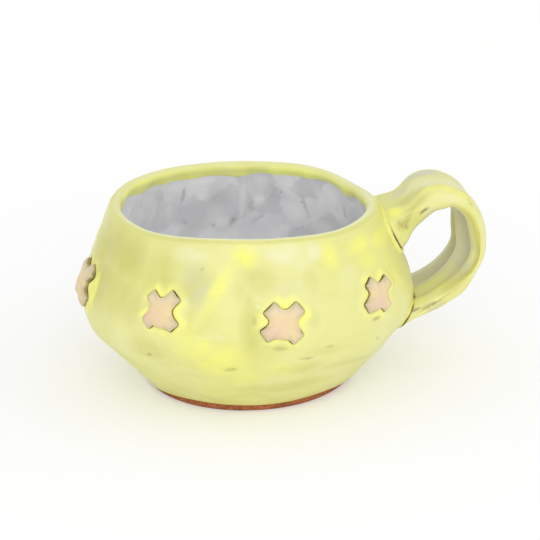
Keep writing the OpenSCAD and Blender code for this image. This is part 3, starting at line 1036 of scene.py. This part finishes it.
def make_cross(cross):
    """One applied cross, domed, with soft edges that drop into the crevice round it."""
    angle = np.arange(PAD_RAYS) * 2 * np.pi / PAD_RAYS
    tip, opening = cross.tipness(angle), cross.opening(angle)
    gap = GAP_LEAST + GAP_OPEN * opening
    outline = cross.reach(angle, -gap)
    crown, dome = CROSS_RELIEF.get(cross.number, (CROSS_CROWN, CROSS_DOME))
    cells = [[[0], [0], [crown], [0], [0]]]
    faces = []
    before = None
    count = 1
    for share in PAD_SHARES:
        a, b = circle(angle, share * outline).T
        inward = np.clip(-gap - cross.distance(a, b), 0, PAD_EDGE)
        drop = PAD_EDGE_DROP * np.mean([
            (1 - np.clip(-gap - cross.distance(a + right, b + up), -PAD_BLUR, PAD_EDGE) / PAD_EDGE) ** 2
            for right, up in PAD_OFFSETS
        ], axis=0)
        dimple = DIMPLE_H * waves(np.column_stack([a, b]), DIMPLE_SIZE, DIMPLE_SEED + cross.number)
        h = crown * (1 - dome * (share * outline / PAD_SPAN) ** 2) - drop + dimple
        # The edge tone: partly wear at the arms' ends, partly painted shade where they curve down towards
        # the tips
        worn = 0.7 * tip * (1 - smoothstep(inward, 0.0, PAD_EDGE))
        worn = worn + 0.3 * smoothstep(share * outline, 2.6, 5.4)
        dark = 0.7 * opening * (1 - smoothstep(inward, 0.0, 0.06))
        cells.append([a, b, h, worn, dark])
        ring = np.arange(count, count + PAD_RAYS)
        faces.append(fan_faces(ring, 0, outward=True) if before is None else band_faces(ring, before))
        before, count = ring, count + PAD_RAYS
    a, b = np.append(circle(angle, outline), [[0, 0]], axis=0).T
    under = np.ones_like(a)
    cells.append([a, b, under * (PAD_LIFT - POCKET_DEPTH), under, under])
    ring = np.arange(count, count + PAD_RAYS)
    faces += [band_faces(ring, before), fan_faces(ring, count + PAD_RAYS, outward=False)]
    a, b, h, edge, crevice = np.concatenate(cells, axis=1)
    blush = 0.8 * bell(a, -2.6, 2.6) * bell(b, -2.6, 2.2)
    attributes = {"edge": edge, "crevice": crevice, "blush": blush, "cream": smoothstep(b, 0.5, 4.5)}
    nodes = [f"cross_{cross.number}"]
    make_piece(f"cross_pad_{cross.number}", cross.place(a, b, h), faces, "peach_glaze", nodes, attributes)


# The clay and the liner

LINER_LAP = 2.0
POLE_GAP = 0.3
CLAY_CLEAR = 0.02
CLAY_STEP = 0.8
FOOT_STEP = 0.3
FOOT_EDGE_R = 0.45
FOOT_UNDERCUT = 0.15
FOOT_EDGE_TURNS = (-90, -65, -40, -18)


def make_liner():
    """The pale coat on the floor and the inside of the wall, up under the outer glaze's edge."""
    s_end = S_END - POLE_GAP
    s_rows = np.append(np.arange(S_LIP_END - LINER_LAP, s_end, INSIDE_STEP), s_end)
    t, s = np.meshgrid(thetas, s_rows)
    inner = on_bowl(t, s, 0.0)
    back = on_bowl(t[::-1], s[::-1], -GLAZE_T)
    rows = len(s_rows)
    index = numbered(2 * rows, TURNS)
    quads = ring_faces(index, closed_rows=True)
    poles = np.array([[0, 0, FLOOR_T + GLAZE_T], [0, 0, FLOOR_T]])
    faces = [
        np.delete(quads, rows - 1, axis=0),
        fan_faces(index[rows - 1], index.size, outward=True),
        fan_faces(index[rows], index.size + 1, outward=False),
    ]
    points = np.concatenate([inner, back, poles])
    theta, s = t.ravel(), s.ravel()
    hollow = 0.5 * smoothstep(finger_presses(theta, s) / PRESS_DEPTH, 0.55, 0.95)
    shown = {
        "wall": 0.25 + 0.75 * smoothstep(inner[:, 2], 9, 22),
        "thick": np.maximum(painted(theta, s, THICK_GLAZE, inside=True), hollow),
        "thin": painted(theta, s, THIN_GLAZE, inside=True),
    }
    hidden = np.zeros(len(back) + len(poles))
    attributes = {name: np.append(values, hidden) for name, values in shown.items()}
    make_piece("liner_glaze_coat", points, faces, "pale_glaze", ["liner_glaze"], attributes)


def make_wall():
    """The clay wall between the two coats, from the base's joint to the lip."""
    s_rows = np.arange(float(s_at_height(BASE_H)), float(s_at_height(BASE_H, inside=True)), CLAY_STEP)
    points = on_bowl(*np.meshgrid(thetas, s_rows), -GLAZE_T - CLAY_CLEAR)
    faces = [ring_faces(numbered(len(s_rows), TURNS), closed_rows=True)]
    make_piece("clay_wall", points, faces, "terracotta", ["wall"])


def make_base():
    """The pressed clay base: flat underside, bare edge drawn in towards the table, floor and cove."""
    s_low = np.arange(FOOT_H, float(s_at_height(BASE_H)), FOOT_STEP)
    s_high = np.arange(float(s_at_height(BASE_H, inside=True)), S_END - POLE_GAP, CLAY_STEP)
    s_rows = np.concatenate([s_low, s_high])
    body = on_bowl(*np.meshgrid(thetas, s_rows), -GLAZE_T - CLAY_CLEAR)
    top_r = FOOT_R - GLAZE_T
    corner = np.array([top_r - FOOT_UNDERCUT - FOOT_EDGE_R, FOOT_EDGE_R])
    profile = [(share * corner[0], 0) for share in (0.5, 0.9)]
    profile += [corner + FOOT_EDGE_R * heading(a) for a in FOOT_EDGE_TURNS]
    profile += [(top_r - FOOT_UNDERCUT * share, FOOT_H * (1 - share)) for share in (0.6, 0.4, 0.2)]
    under = hand_warp(np.concatenate([turned(thetas, r, z) for r, z in profile]))
    points = np.concatenate([under, body, [[0, 0, 0], [0, 0, FLOOR_T]]])
    index = numbered(len(profile) + len(s_rows), TURNS)
    make_piece("clay_base", points, capped_faces(index), "terracotta", ["base"])


# The handle

STRAP_STEPS = 90
STRAP_SIDES = 144
SEAT_DEPTH = 0.2
RUN_STEPS = 6
RUN_LEAST = 0.1
SKIN_SKIP = 3
loop_p = np.array([HANDLE_REACH - GLAZE_T - STRAP_T / 2, LOOP_Z])
upper_p = np.array([r_at(s_at_height(UPPER_Z)), UPPER_Z])
lower_p = np.array([r_at(s_at_height(LOWER_Z)), LOWER_Z])
UPPER_CURVE = [upper_p, upper_p + UPPER_PULL * heading(UPPER_RISE), loop_p + [0, LOOP_IN], loop_p]
LOWER_CURVE = [loop_p, loop_p - [0, LOOP_OUT], lower_p + LOWER_PULL * heading(LOWER_RISE), lower_p]
SECTION_POINTS = 4001

# Where the hand left the strap thicker or thinner: share along it, half length, face and amount
STRAP_SWELLS = [
    (0.05, 0.04, 1, 1.4), (0.11, 0.045, 1, -1.35), (0.175, 0.045, 1, 0.45), (0.285, 0.065, 1, -0.7),
    (0.38, 0.06, 1, -0.4), (0.62, 0.06, 1, -0.5), (0.72, 0.05, 1, 0.4), (0.90, 0.05, 1, -0.7),
    (0.96, 0.04, 1, -1.0), (0.12, 0.06, -1, 1.0), (0.22, 0.05, -1, 1.0), (0.33, 0.07, -1, 0.5),
    (0.47, 0.05, -1, 0.6),
]
# The inner corners, worn away over part of the strap, near then far:
# share along it, half length, side, the span across it and depth
BEVELS = [(0.53, 0.14, -1, (0.05, 0.9), 2.3), (0.41, 0.07, 1, (0.2, 0.95), 1.1)]
BEVEL_THICK = (-0.3, 0.8)

# Marks on the strap: share along it, millimetres round from its near edge's middle, half sizes, strength
STRAP_CLAY = [
    (0.135, -0.6, 0.022, 0.17, 1.0), (0.062, -0.4, 0.006, 0.5, 0.7), (0.075, 0.1, 0.02, 0.22, 0.4),
    (0.474, -0.2, 0.024, 0.24, 0.75), (0.50, -0.4, 0.12, 0.14, 0.35), (0.542, -0.6, 0.016, 0.22, 0.5),
    (0.62, -0.5, 0.016, 0.24, 0.6), (0.349, 1.0, 0.016, 0.18, 0.6), (0.33, 1.4, 0.01, 0.2, 0.4),
    (0.845, -0.4, 0.10, 0.2, 0.8), (0.87, -0.75, 0.05, 0.24, 0.9), (0.93, -1.0, 0.03, 0.34, 0.8),
    (0.30, -21.0, 0.03, 0.3, 0.7), (0.55, 21.5, 0.04, 0.3, 0.6), (0.75, 20.5, 0.03, 0.3, 0.7),
]
STRAP_BRIGHT = [
    (0.295, 2.2, 0.04, 1.6, 1.0), (0.245, 3.0, 0.05, 1.8, 0.8), (0.20, 3.2, 0.05, 1.6, 0.6),
    (0.073, 3.3, 0.02, 2.0, 0.9), (0.56, -3.6, 0.05, 1.2, 0.6), (0.78, -3.8, 0.07, 1.5, 0.7),
    (0.90, -3.0, 0.05, 1.6, 0.6), (0.52, 12.0, 0.06, 4.0, 0.5), (0.80, 10.0, 0.08, 4.0, 0.5),
]
STRAP_CREAM = [
    (0.26, -0.2, 0.07, 1.0, 0.7), (0.47, 1.8, 0.08, 1.2, 0.7), (0.60, 1.6, 0.06, 2.0, 0.5),
    (0.16, 10.5, 0.05, 3.0, 0.6), (0.25, 8.0, 0.12, 4.0, 0.9), (0.68, 12.0, 0.06, 3.0, 0.5),
]
STRAP_GREY = [
    (0.20, 15.8, 0.08, 2.6, 1.0), (0.12, 13.5, 0.04, 3.2, 0.8), (0.36, 13.0, 0.06, 3.4, 0.8),
    (0.85, 0.6, 0.06, 0.7, 0.6), (0.15, -1.3, 0.03, 0.6, 0.6), (0.94, -6.5, 0.03, 3.0, 0.7),
]
STRAP_OLIVE = [
    (0.12, 6.5, 0.045, 3.2, 0.6), (0.155, 4.6, 0.03, 1.5, 0.5), (0.33, 6.0, 0.05, 1.6, 0.45),
    (0.40, -1.0, 0.06, 0.8, 0.4), (0.64, 8.0, 0.05, 3.0, 0.5), (0.50, -0.4, 0.12, 0.9, 0.6),
    (0.72, -1.6, 0.09, 2.0, 0.7), (0.84, 0.8, 0.06, 1.2, 0.5), (0.085, -0.6, 0.06, 1.3, 0.6),
    (0.13, 1.6, 0.06, 1.4, 0.6), (0.11, -2.0, 0.08, 0.9, 0.6),
]
STRAP_DULL = [
    (0.062, 0.4, 0.022, 0.9, 0.75), (0.08, 0.6, 0.03, 0.5, 0.6), (0.64, -2.0, 0.08, 1.2, 0.3),
    (0.94, -12.0, 0.03, 5.0, 0.7),
]
# Painted shade on the inner half of the near edge, where it turns away from the light
STRAP_EDGE_SHADE = [
    (0.44, -1.9, 0.14, 1.5, 0.7), (0.58, -1.6, 0.12, 1.3, 0.6), (0.70, -3.6, 0.10, 2.0, 0.5),
]
# Painted shade in the grooves of the inner face
STRAP_GROOVE_SHADE = [
    (0.48, -7.0, 0.22, 2.2, 0.9), (0.60, -13.6, 0.36, 2.6, 0.7), (0.64, -12.4, 0.05, 1.4, 1.0),
]
# Painted highlight along the ridges of the inner face
INNER_RIDGE_HIGHLIGHTS = [
    (0.58, -10.3, 0.36, 0.9, 1.0), (0.50, -4.6, 0.22, 0.8, 1.0), (0.60, -16.8, 0.30, 1.0, 0.8),
]

# Uneven pulling along the strap, in its width and its thickness
WIDTH_RIPPLES = [(9, 1.0, 0.5), (23, 0.0, 0.25)]
THICK_RIPPLES = [(14, 0.4, 0.25)]
# Flutes down its two faces: heights in millimetres, and the rest in shares of its half width
INNER_RIDGE = -0.17
INNER_PITCH = 0.65
INNER_FLUTE = 0.6
INNER_REST = 0.3
INNER_SWAY = 0.05
OUTER_GROOVE = -0.35
OUTER_GROOVE_AT = -0.05
OUTER_GROOVE_HALF = 0.34
OUTER_FLUTE = 0.14
OUTER_FLUTES = 9
OUTER_SWAY = 0.06
# How fast they sway along the strap, in radians over its length
SWAYS = 8
# Where on the section the flutes and swells come in, by shares of its half thickness
FLUTE_RISE = (0.55, 0.98)
SWELL_SIDE = (0.0, 0.9)


def bezier(curve, t):
    """Point and unit direction of a cubic curve at each share t."""
    p0, p1, p2, p3 = curve
    t = t[:, None]
    point = (1 - t) ** 3 * p0 + 3 * (1 - t) ** 2 * t * p1 + 3 * (1 - t) * t * t * p2 + t ** 3 * p3
    way = (1 - t) ** 2 * (p1 - p0) + 2 * (1 - t) * t * (p2 - p1) + t * t * (p3 - p2)
    return point, unit(way)


def strap_line():
    """The strap's middle line: points, directions, flare towards the roots and thickness there."""
    t = np.linspace(0, 1, STRAP_STEPS + 1)
    upper_point, upper_way = bezier(UPPER_CURVE, t)
    lower_point, lower_way = bezier(LOWER_CURVE, t[1:])
    run = np.linspace(1, RUN_LEAST, RUN_STEPS)[:, None] * OVERRUN
    upper_run = upper_p - run * upper_way[0]
    lower_run = lower_p + run[::-1] * lower_way[-1]
    point = np.concatenate([upper_run, upper_point, lower_point, lower_run])
    upper_ways = np.repeat(upper_way[:1], RUN_STEPS, 0)
    lower_ways = np.repeat(lower_way[-1:], RUN_STEPS, 0)
    way = np.concatenate([upper_ways, upper_way, lower_way, lower_ways])
    upper_side = np.arange(len(point)) <= RUN_STEPS + STRAP_STEPS
    end = np.where(upper_side[:, None], upper_p, lower_p)
    away = np.linalg.norm(point - end, axis=1)
    away[:RUN_STEPS] = 0
    away[-RUN_STEPS:] = 0
    flare = np.clip(1 - away / FLARE_L, 0, 1) ** 2
    root_t = np.where(upper_side, UPPER_ROOT_T, LOWER_ROOT_T)
    return point, way, flare, root_t


def strap_section():
    """The strap's section as shares of its half width and half thickness, evenly spaced round it."""
    angle = -np.linspace(0, 2 * np.pi, SECTION_POINTS)
    across = np.sign(np.cos(angle)) * np.abs(np.cos(angle)) ** STRAP_FULL
    thick = np.sign(np.sin(angle)) * np.abs(np.sin(angle)) ** STRAP_FULL
    steps = np.hypot(np.diff(across) * STRAP_W, np.diff(thick) * STRAP_T)
    along = np.concatenate([[0], np.cumsum(steps)])
    at = np.arange(STRAP_SIDES) * along[-1] / STRAP_SIDES
    return np.interp(at, along, across), np.interp(at, along, thick)


section_across, section_thick = strap_section()


def strap_points(grow):
    """Rings of the strap's surface, with its flutes and uneven pulling."""
    point, way, flare, root_t = strap_line()
    along = np.linspace(0, 1, len(point))[:, None]
    flare, root_t = flare[:, None], root_t[:, None]
    across, thick = section_across, section_thick
    w = STRAP_W + (ROOT_W - STRAP_W) * flare + ripples(along, WIDTH_RIPPLES, np.sin)
    t = STRAP_T + (root_t - STRAP_T) * flare + ripples(along, THICK_RIPPLES, np.sin)
    sway = np.sin(SWAYS * along)
    inner_wave = np.cos(2 * np.pi * (across - INNER_RIDGE + INNER_SWAY * sway) / INNER_PITCH)
    swayed = across + OUTER_SWAY * sway
    outer_wave = OUTER_GROOVE * bell(swayed, OUTER_GROOVE_AT, OUTER_GROOVE_HALF)
    outer_wave = outer_wave + OUTER_FLUTE * np.cos(OUTER_FLUTES * swayed)
    flute = np.where(thick < 0, INNER_FLUTE * (inner_wave - INNER_REST), outer_wave) * (1 - flare)
    fade = smoothstep(np.abs(thick), *FLUTE_RISE)
    swell = sum(
        face * amount * bell(along, middle, half) * smoothstep(face * thick, *SWELL_SIDE)
        for middle, half, face, amount in STRAP_SWELLS
    )
    worn = smoothstep(-thick, *BEVEL_THICK) * sum(
        depth * bell(along, middle, half) * smoothstep(side * across, *span)
        for middle, half, side, span, depth in BEVELS
    )
    y = across * (w / 2 + grow)
    n = thick * (t / 2 + grow) + np.sign(thick) * flute * fade + swell + worn
    x = point[:, :1] - way[:, 1:] * n
    z = point[:, 1:] + way[:, :1] * n
    return np.stack([x, y, z], axis=-1).reshape(-1, 3)


MARK_EDGE = (0.3, 1.2)


def strap_marks():
    """Marks on the strap's glaze: bare clay and brushwork outside, painted shade on the near edge, and
    inside a face greyed as painted shade, with painted highlight on its ridges and painted shade in its
    grooves.
    """
    stations = len(strap_line()[0])
    along = np.linspace(0, 1, stations)[:, None]
    across, thick = section_across, section_thick
    wide, deep = np.diff(across, append=across[0]) * STRAP_W, np.diff(thick, append=thick[0]) * STRAP_T
    edge = np.hypot(wide, deep) / 2
    around = np.cumsum(edge) - edge - edge.sum() / 2

    def marked(marks):
        """How strongly a set of marks covers each place, from 0 to 1."""
        total = np.zeros((stations, STRAP_SIDES))
        for share, round_at, half_along, half_round, strength in marks:
            far = np.hypot((along - share) / half_along, (around - round_at) / half_round)
            total = np.maximum(total, strength * (1 - smoothstep(far, *MARK_EDGE)))
        return total

    low_near = smoothstep(along, 0.6, 0.78) * smoothstep(around, -11.0, -8.0)
    inner = smoothstep(-thick, 0.3, 0.8) * smoothstep(across, -0.95, -0.85) * (1 - 0.8 * low_near)
    ridge = marked(INNER_RIDGE_HIGHLIGHTS)
    marks = {
        "bare": marked(STRAP_CLAY),
        "bright": marked(STRAP_BRIGHT),
        "cream": marked(STRAP_CREAM),
        # Painted shade: the whole inner face is greyed, less so on the near part of the strap's lower half
        "grey": np.maximum(marked(STRAP_GREY), 0.95 * inner),
        "olive": marked(STRAP_OLIVE),
        "dash": marked(STRAP_DULL) * (1 - ridge),
        "groove": marked(STRAP_GROOVE_SHADE) * (1 - ridge),
        # Painted highlight on the ridges; the same pale tone is laid lightly over the whole inner face
        "ridge": np.maximum(0.8 * ridge, 0.2 * inner),
        # Painted shade on the near edge
        "deep": marked(STRAP_EDGE_SHADE),
    }
    flat = {name: values.ravel() for name, values in marks.items()}
    return yellow_marks(stations * STRAP_SIDES, **flat)


def off_bowl(points):
    """Height of each point off the bowl's outside, and the skin's normal nearest to it."""
    r = np.hypot(points[:, 0], points[:, 1])
    outside = slice(0, top_index + 1, SKIN_SKIP)
    places, normals = skin[outside], skin_normal[outside]
    far = (r[:, None] - places[None, :, 0]) ** 2 + (points[:, 2, None] - places[None, :, 1]) ** 2
    nearest = np.argmin(far, axis=1)
    offset = np.column_stack([r, points[:, 2]]) - places[nearest]
    return np.einsum("ij,ij->i", offset, normals[nearest]), normals[nearest]


def seated(points):
    """Points that would lie inside the bowl, drawn out to just under its skin."""
    h, normal = off_bowl(points)
    push = np.maximum(-SEAT_DEPTH - h, 0)
    theta = np.arctan2(points[:, 1], points[:, 0])
    return points + push[:, None] * turned(theta, *normal.T)


def make_strap(name, grow, slot, nodes, attributes):
    """One layer of the strap, with its ends seated on the bowl."""
    points = hand_warp(seated(strap_points(grow)))
    index = numbered(len(points) // STRAP_SIDES, STRAP_SIDES)
    ends = np.array([points[index[0]].mean(axis=0), points[index[-1]].mean(axis=0)])
    every = {key: np.append(values, [0, 0]) for key, values in attributes.items()}
    make_piece(name, np.concatenate([points, ends]), capped_faces(index), slot, nodes, every)


# The seams at the strap's roots: a bead of glaze on the bowl, and a crack a little further off it
SEAM_SIDES = 10
SEAM_LEAST = 0.04
SEAM_WAVE = 5.0
SEAM_UNEVEN = 0.12
SEAM_LEVEL = 0.1
SEAM_R = 0.7
CRACK_LEVEL = 1.0
CRACK_R = 0.2
CRACK_NEAR = (3.0, 7.0)
UPPER_SEED = 51
LOWER_SEED = 52
# The heights between which the crack opens and shuts, and the lower bead comes in
UPPER_OPENS = (33.0, 35.0)
UPPER_SHUTS = (37.0, 43.0)
LOWER_OPENS = (11.0, 13.5)
LOWER_BEAD = (13.0, 16.5)


def root_line(upper, level):
    """The line round a root of the strap at a height off the bowl, and the bowl's normals along it."""
    rings = strap_points(GLAZE_T).reshape(-1, STRAP_SIDES, 3)
    half = len(rings) // 2
    rings = rings[:half] if upper else rings[:half:-1]
    h = off_bowl(rings.reshape(-1, 3))[0].reshape(rings.shape[:2]) - level
    first = np.argmax(h > 0, axis=0)
    cols = np.arange(STRAP_SIDES)
    h_in, h_out = h[first - 1, cols], h[first, cols]
    share = (-h_in / (h_out - h_in))[:, None]
    line = rings[first - 1, cols] * (1 - share) + rings[first, cols] * share
    theta = np.arctan2(line[:, 1], line[:, 0])
    normal = off_bowl(line)[1]
    return line, turned(theta, *normal.T)


def tube(line, out, radius):
    """Points of a tube along a closed line, ring by ring round it."""
    along = unit(np.roll(line, -1, axis=0) - np.roll(line, 1, axis=0))
    side = np.cross(along, out)
    turn = 2 * np.pi * np.arange(SEAM_SIDES)[:, None, None] / SEAM_SIDES
    return (line + radius[None, :, None] * (np.cos(turn) * out + np.sin(turn) * side)).reshape(-1, 3)


def make_seam(name, node, upper):
    """The slip where a root of the strap meets the bowl: a bead of glaze, and a crack open along it."""
    bead_line, bead_out = root_line(upper, SEAM_LEVEL)
    crack_line, crack_out = root_line(upper, CRACK_LEVEL)
    uneven = waves(bead_line, SEAM_WAVE, UPPER_SEED if upper else LOWER_SEED)
    gape = smoothstep(-crack_line[:, 1], *CRACK_NEAR)
    height = crack_line[:, 2]
    if upper:
        gape = gape * smoothstep(height, *UPPER_OPENS) * (1 - smoothstep(height, *UPPER_SHUTS))
        full = np.ones(STRAP_SIDES)
    else:
        gape = gape * smoothstep(height, *LOWER_OPENS) * np.clip(0.75 + 0.4 * uneven, 0, 1)
        full = smoothstep(bead_line[:, 2], *LOWER_BEAD)
    bead = tube(bead_line, bead_out, SEAM_LEAST + SEAM_R * full * (1 + SEAM_UNEVEN * uneven))
    crack = tube(crack_line, crack_out, SEAM_LEAST + CRACK_R * gape)
    index = numbered(SEAM_SIDES, STRAP_SIDES)
    faces = [ring_faces(index, closed_rows=True), ring_faces(index + index.size, closed_rows=True)]
    dark = np.concatenate([np.zeros(index.size), np.tile(gape, SEAM_SIDES)])
    points = hand_warp(np.concatenate([bead, crack]))
    make_piece(name, points, faces, "slip", [node], {"open": dark})


make_outer_glaze()
for one_cross in crosses:
    make_cross(one_cross)
make_liner()
make_wall()
make_base()
make_strap("clay_strap", 0.0, "terracotta", ["handle_strap"], {})
make_strap("handle_glaze_coat", GLAZE_T, "yellow_glaze", ["handle_glaze"], strap_marks())
make_seam("upper_seam", "upper_root_slip", upper=True)
make_seam("lower_seam", "lower_root_slip", upper=False)


# Stage, light and camera

FLOOR_HALF = 3.0
FLOOR_TONE = (0.97, 0.97, 0.97, 1)
# The floor as it is seen, by the cup and far off: how much it shows of the light on it, and its own glow
# By the cup the glow is lower, which paints a slight shade on the floor round it
FLOOR_NEAR = ((0.75, 0.75, 0.745), (0.29, 0.29, 0.305))
FLOOR_FAR = ((0.42, 0.42, 0.412), (0.63, 0.63, 0.632))
FLOOR_SPAN = (0.03, 0.26)
SKY_LIGHT = 0.83
# Lamps: name, place, aim, size and power
LAMPS = [
    ("key", (0.02, -0.84, 0.62), (0, 0, 0.03), 0.6, 1.1),
    ("low fill", (-0.12, -0.9, 0.18), (0, 0, 0.02), 0.5, 1.1),
    ("side fill", (0.8, -0.3, 0.6), (0, 0, 0.03), 0.5, 0.4),
]


def straight_view(nodes):
    """1 where the camera looks straight on or by a mirror, 0 for light on its way."""
    path = nodes.add("LightPath").outputs
    rays = {0: path["Is Camera Ray"], 1: path["Is Glossy Ray"]}
    return nodes.add("Math", rays, operation="MAXIMUM").outputs["Value"]


def floor_distance(nodes):
    """0 on the floor by the cup and 1 far from it."""
    place = nodes.add("NewGeometry").outputs["Position"]
    length = nodes.add("VectorMath", {0: place}, operation="LENGTH").outputs["Value"]
    return nodes.span(length, *FLOOR_SPAN)


def floor_material():
    """A pale floor that shows white with a light shadow, and throws its full light back on the cup."""
    material = bpy.data.materials.new("floor")
    nodes = Nodes(material)
    nodes.tree.nodes.remove(nodes.tree.nodes["Principled BSDF"])
    away = floor_distance(nodes)
    shown, glow = (nodes.mix(away, near, far) for near, far in zip(FLOOR_NEAR, FLOOR_FAR))
    plain = nodes.add("BsdfDiffuse", {"Color": FLOOR_TONE}).outputs["BSDF"]
    seen = nodes.add("BsdfDiffuse", {"Color": shown}).outputs["BSDF"]
    lit = nodes.add("Emission", {"Color": glow}).outputs["Emission"]
    both = nodes.add("AddShader", {0: seen, 1: lit}).outputs["Shader"]
    choice = nodes.add("MixShader", {"Fac": straight_view(nodes), 1: plain, 2: both}).outputs["Shader"]
    nodes.feed(nodes.tree.nodes["Material Output"].inputs["Surface"], choice)
    return material


def make_floor():
    """A wide level floor under the cup."""
    mesh = bpy.data.meshes.new("floor")
    h = FLOOR_HALF
    mesh.from_pydata([(-h, -h, 0), (h, -h, 0), (h, h, 0), (-h, h, 0)], [], [(0, 1, 2, 3)])
    mesh.materials.append(floor_material())
    floor = placed("floor", mesh)


def make_area(name, place, aim, size, power):
    """A soft square lamp."""
    lamp = bpy.data.lights.new(name, "AREA")
    lamp.size = size
    lamp.energy = power
    holder = placed(name, lamp)
    holder.location = place
    holder.rotation_euler = (Vector(aim) - Vector(place)).to_track_quat("-Z", "Y").to_euler()


def make_world():
    """White all round, at full strength to the eye and a little less as light."""
    world = bpy.data.worlds.new("studio")
    nodes = Nodes(world)
    light = nodes.tree.nodes["Background"].inputs
    seen = nodes.add("LightPath").outputs["Is Camera Ray"]
    nodes.feed(light["Color"], (1, 1, 1, 1))
    nodes.feed(light["Strength"], nodes.span(seen, 0, 1, SKY_LIGHT, 1.0))
    bpy.context.scene.world = world


def make_camera():
    """The photograph's camera, placed by its azimuth, elevation and distance from the foot's centre."""
    azimuth, elevation = math.radians(CAMERA_AZIMUTH), math.radians(CAMERA_ELEVATION)
    tilt, pan, roll = math.radians(LOOK_TILT), math.radians(LOOK_PAN), math.radians(LOOK_ROLL)
    level = Matrix.Rotation(azimuth, 3, "Z")
    place = level @ Vector((0, -math.cos(elevation), math.sin(elevation))) * CAMERA_DISTANCE * MM
    ahead = Vector((math.sin(pan) * math.cos(tilt), math.cos(pan) * math.cos(tilt), -math.sin(tilt)))
    ahead = level @ ahead
    right = ahead.cross(Vector((0, 0, 1))).normalized()
    upward = right.cross(ahead)
    right, upward = (
        math.cos(roll) * right + math.sin(roll) * upward,
        math.cos(roll) * upward - math.sin(roll) * right,
    )
    camera = bpy.data.cameras.new("camera")
    camera.lens = LENS
    camera.sensor_width = SENSOR
    holder = placed("camera", camera)
    turn = Matrix((right, upward, -ahead)).transposed()
    holder.matrix_world = Matrix.Translation(place) @ turn.to_4x4()
    bpy.context.scene.camera = holder


make_floor()
make_world()
for lamp_settings in LAMPS:
    make_area(*lamp_settings)
make_camera()
bpy.context.scene.view_settings.view_transform = "Standard"
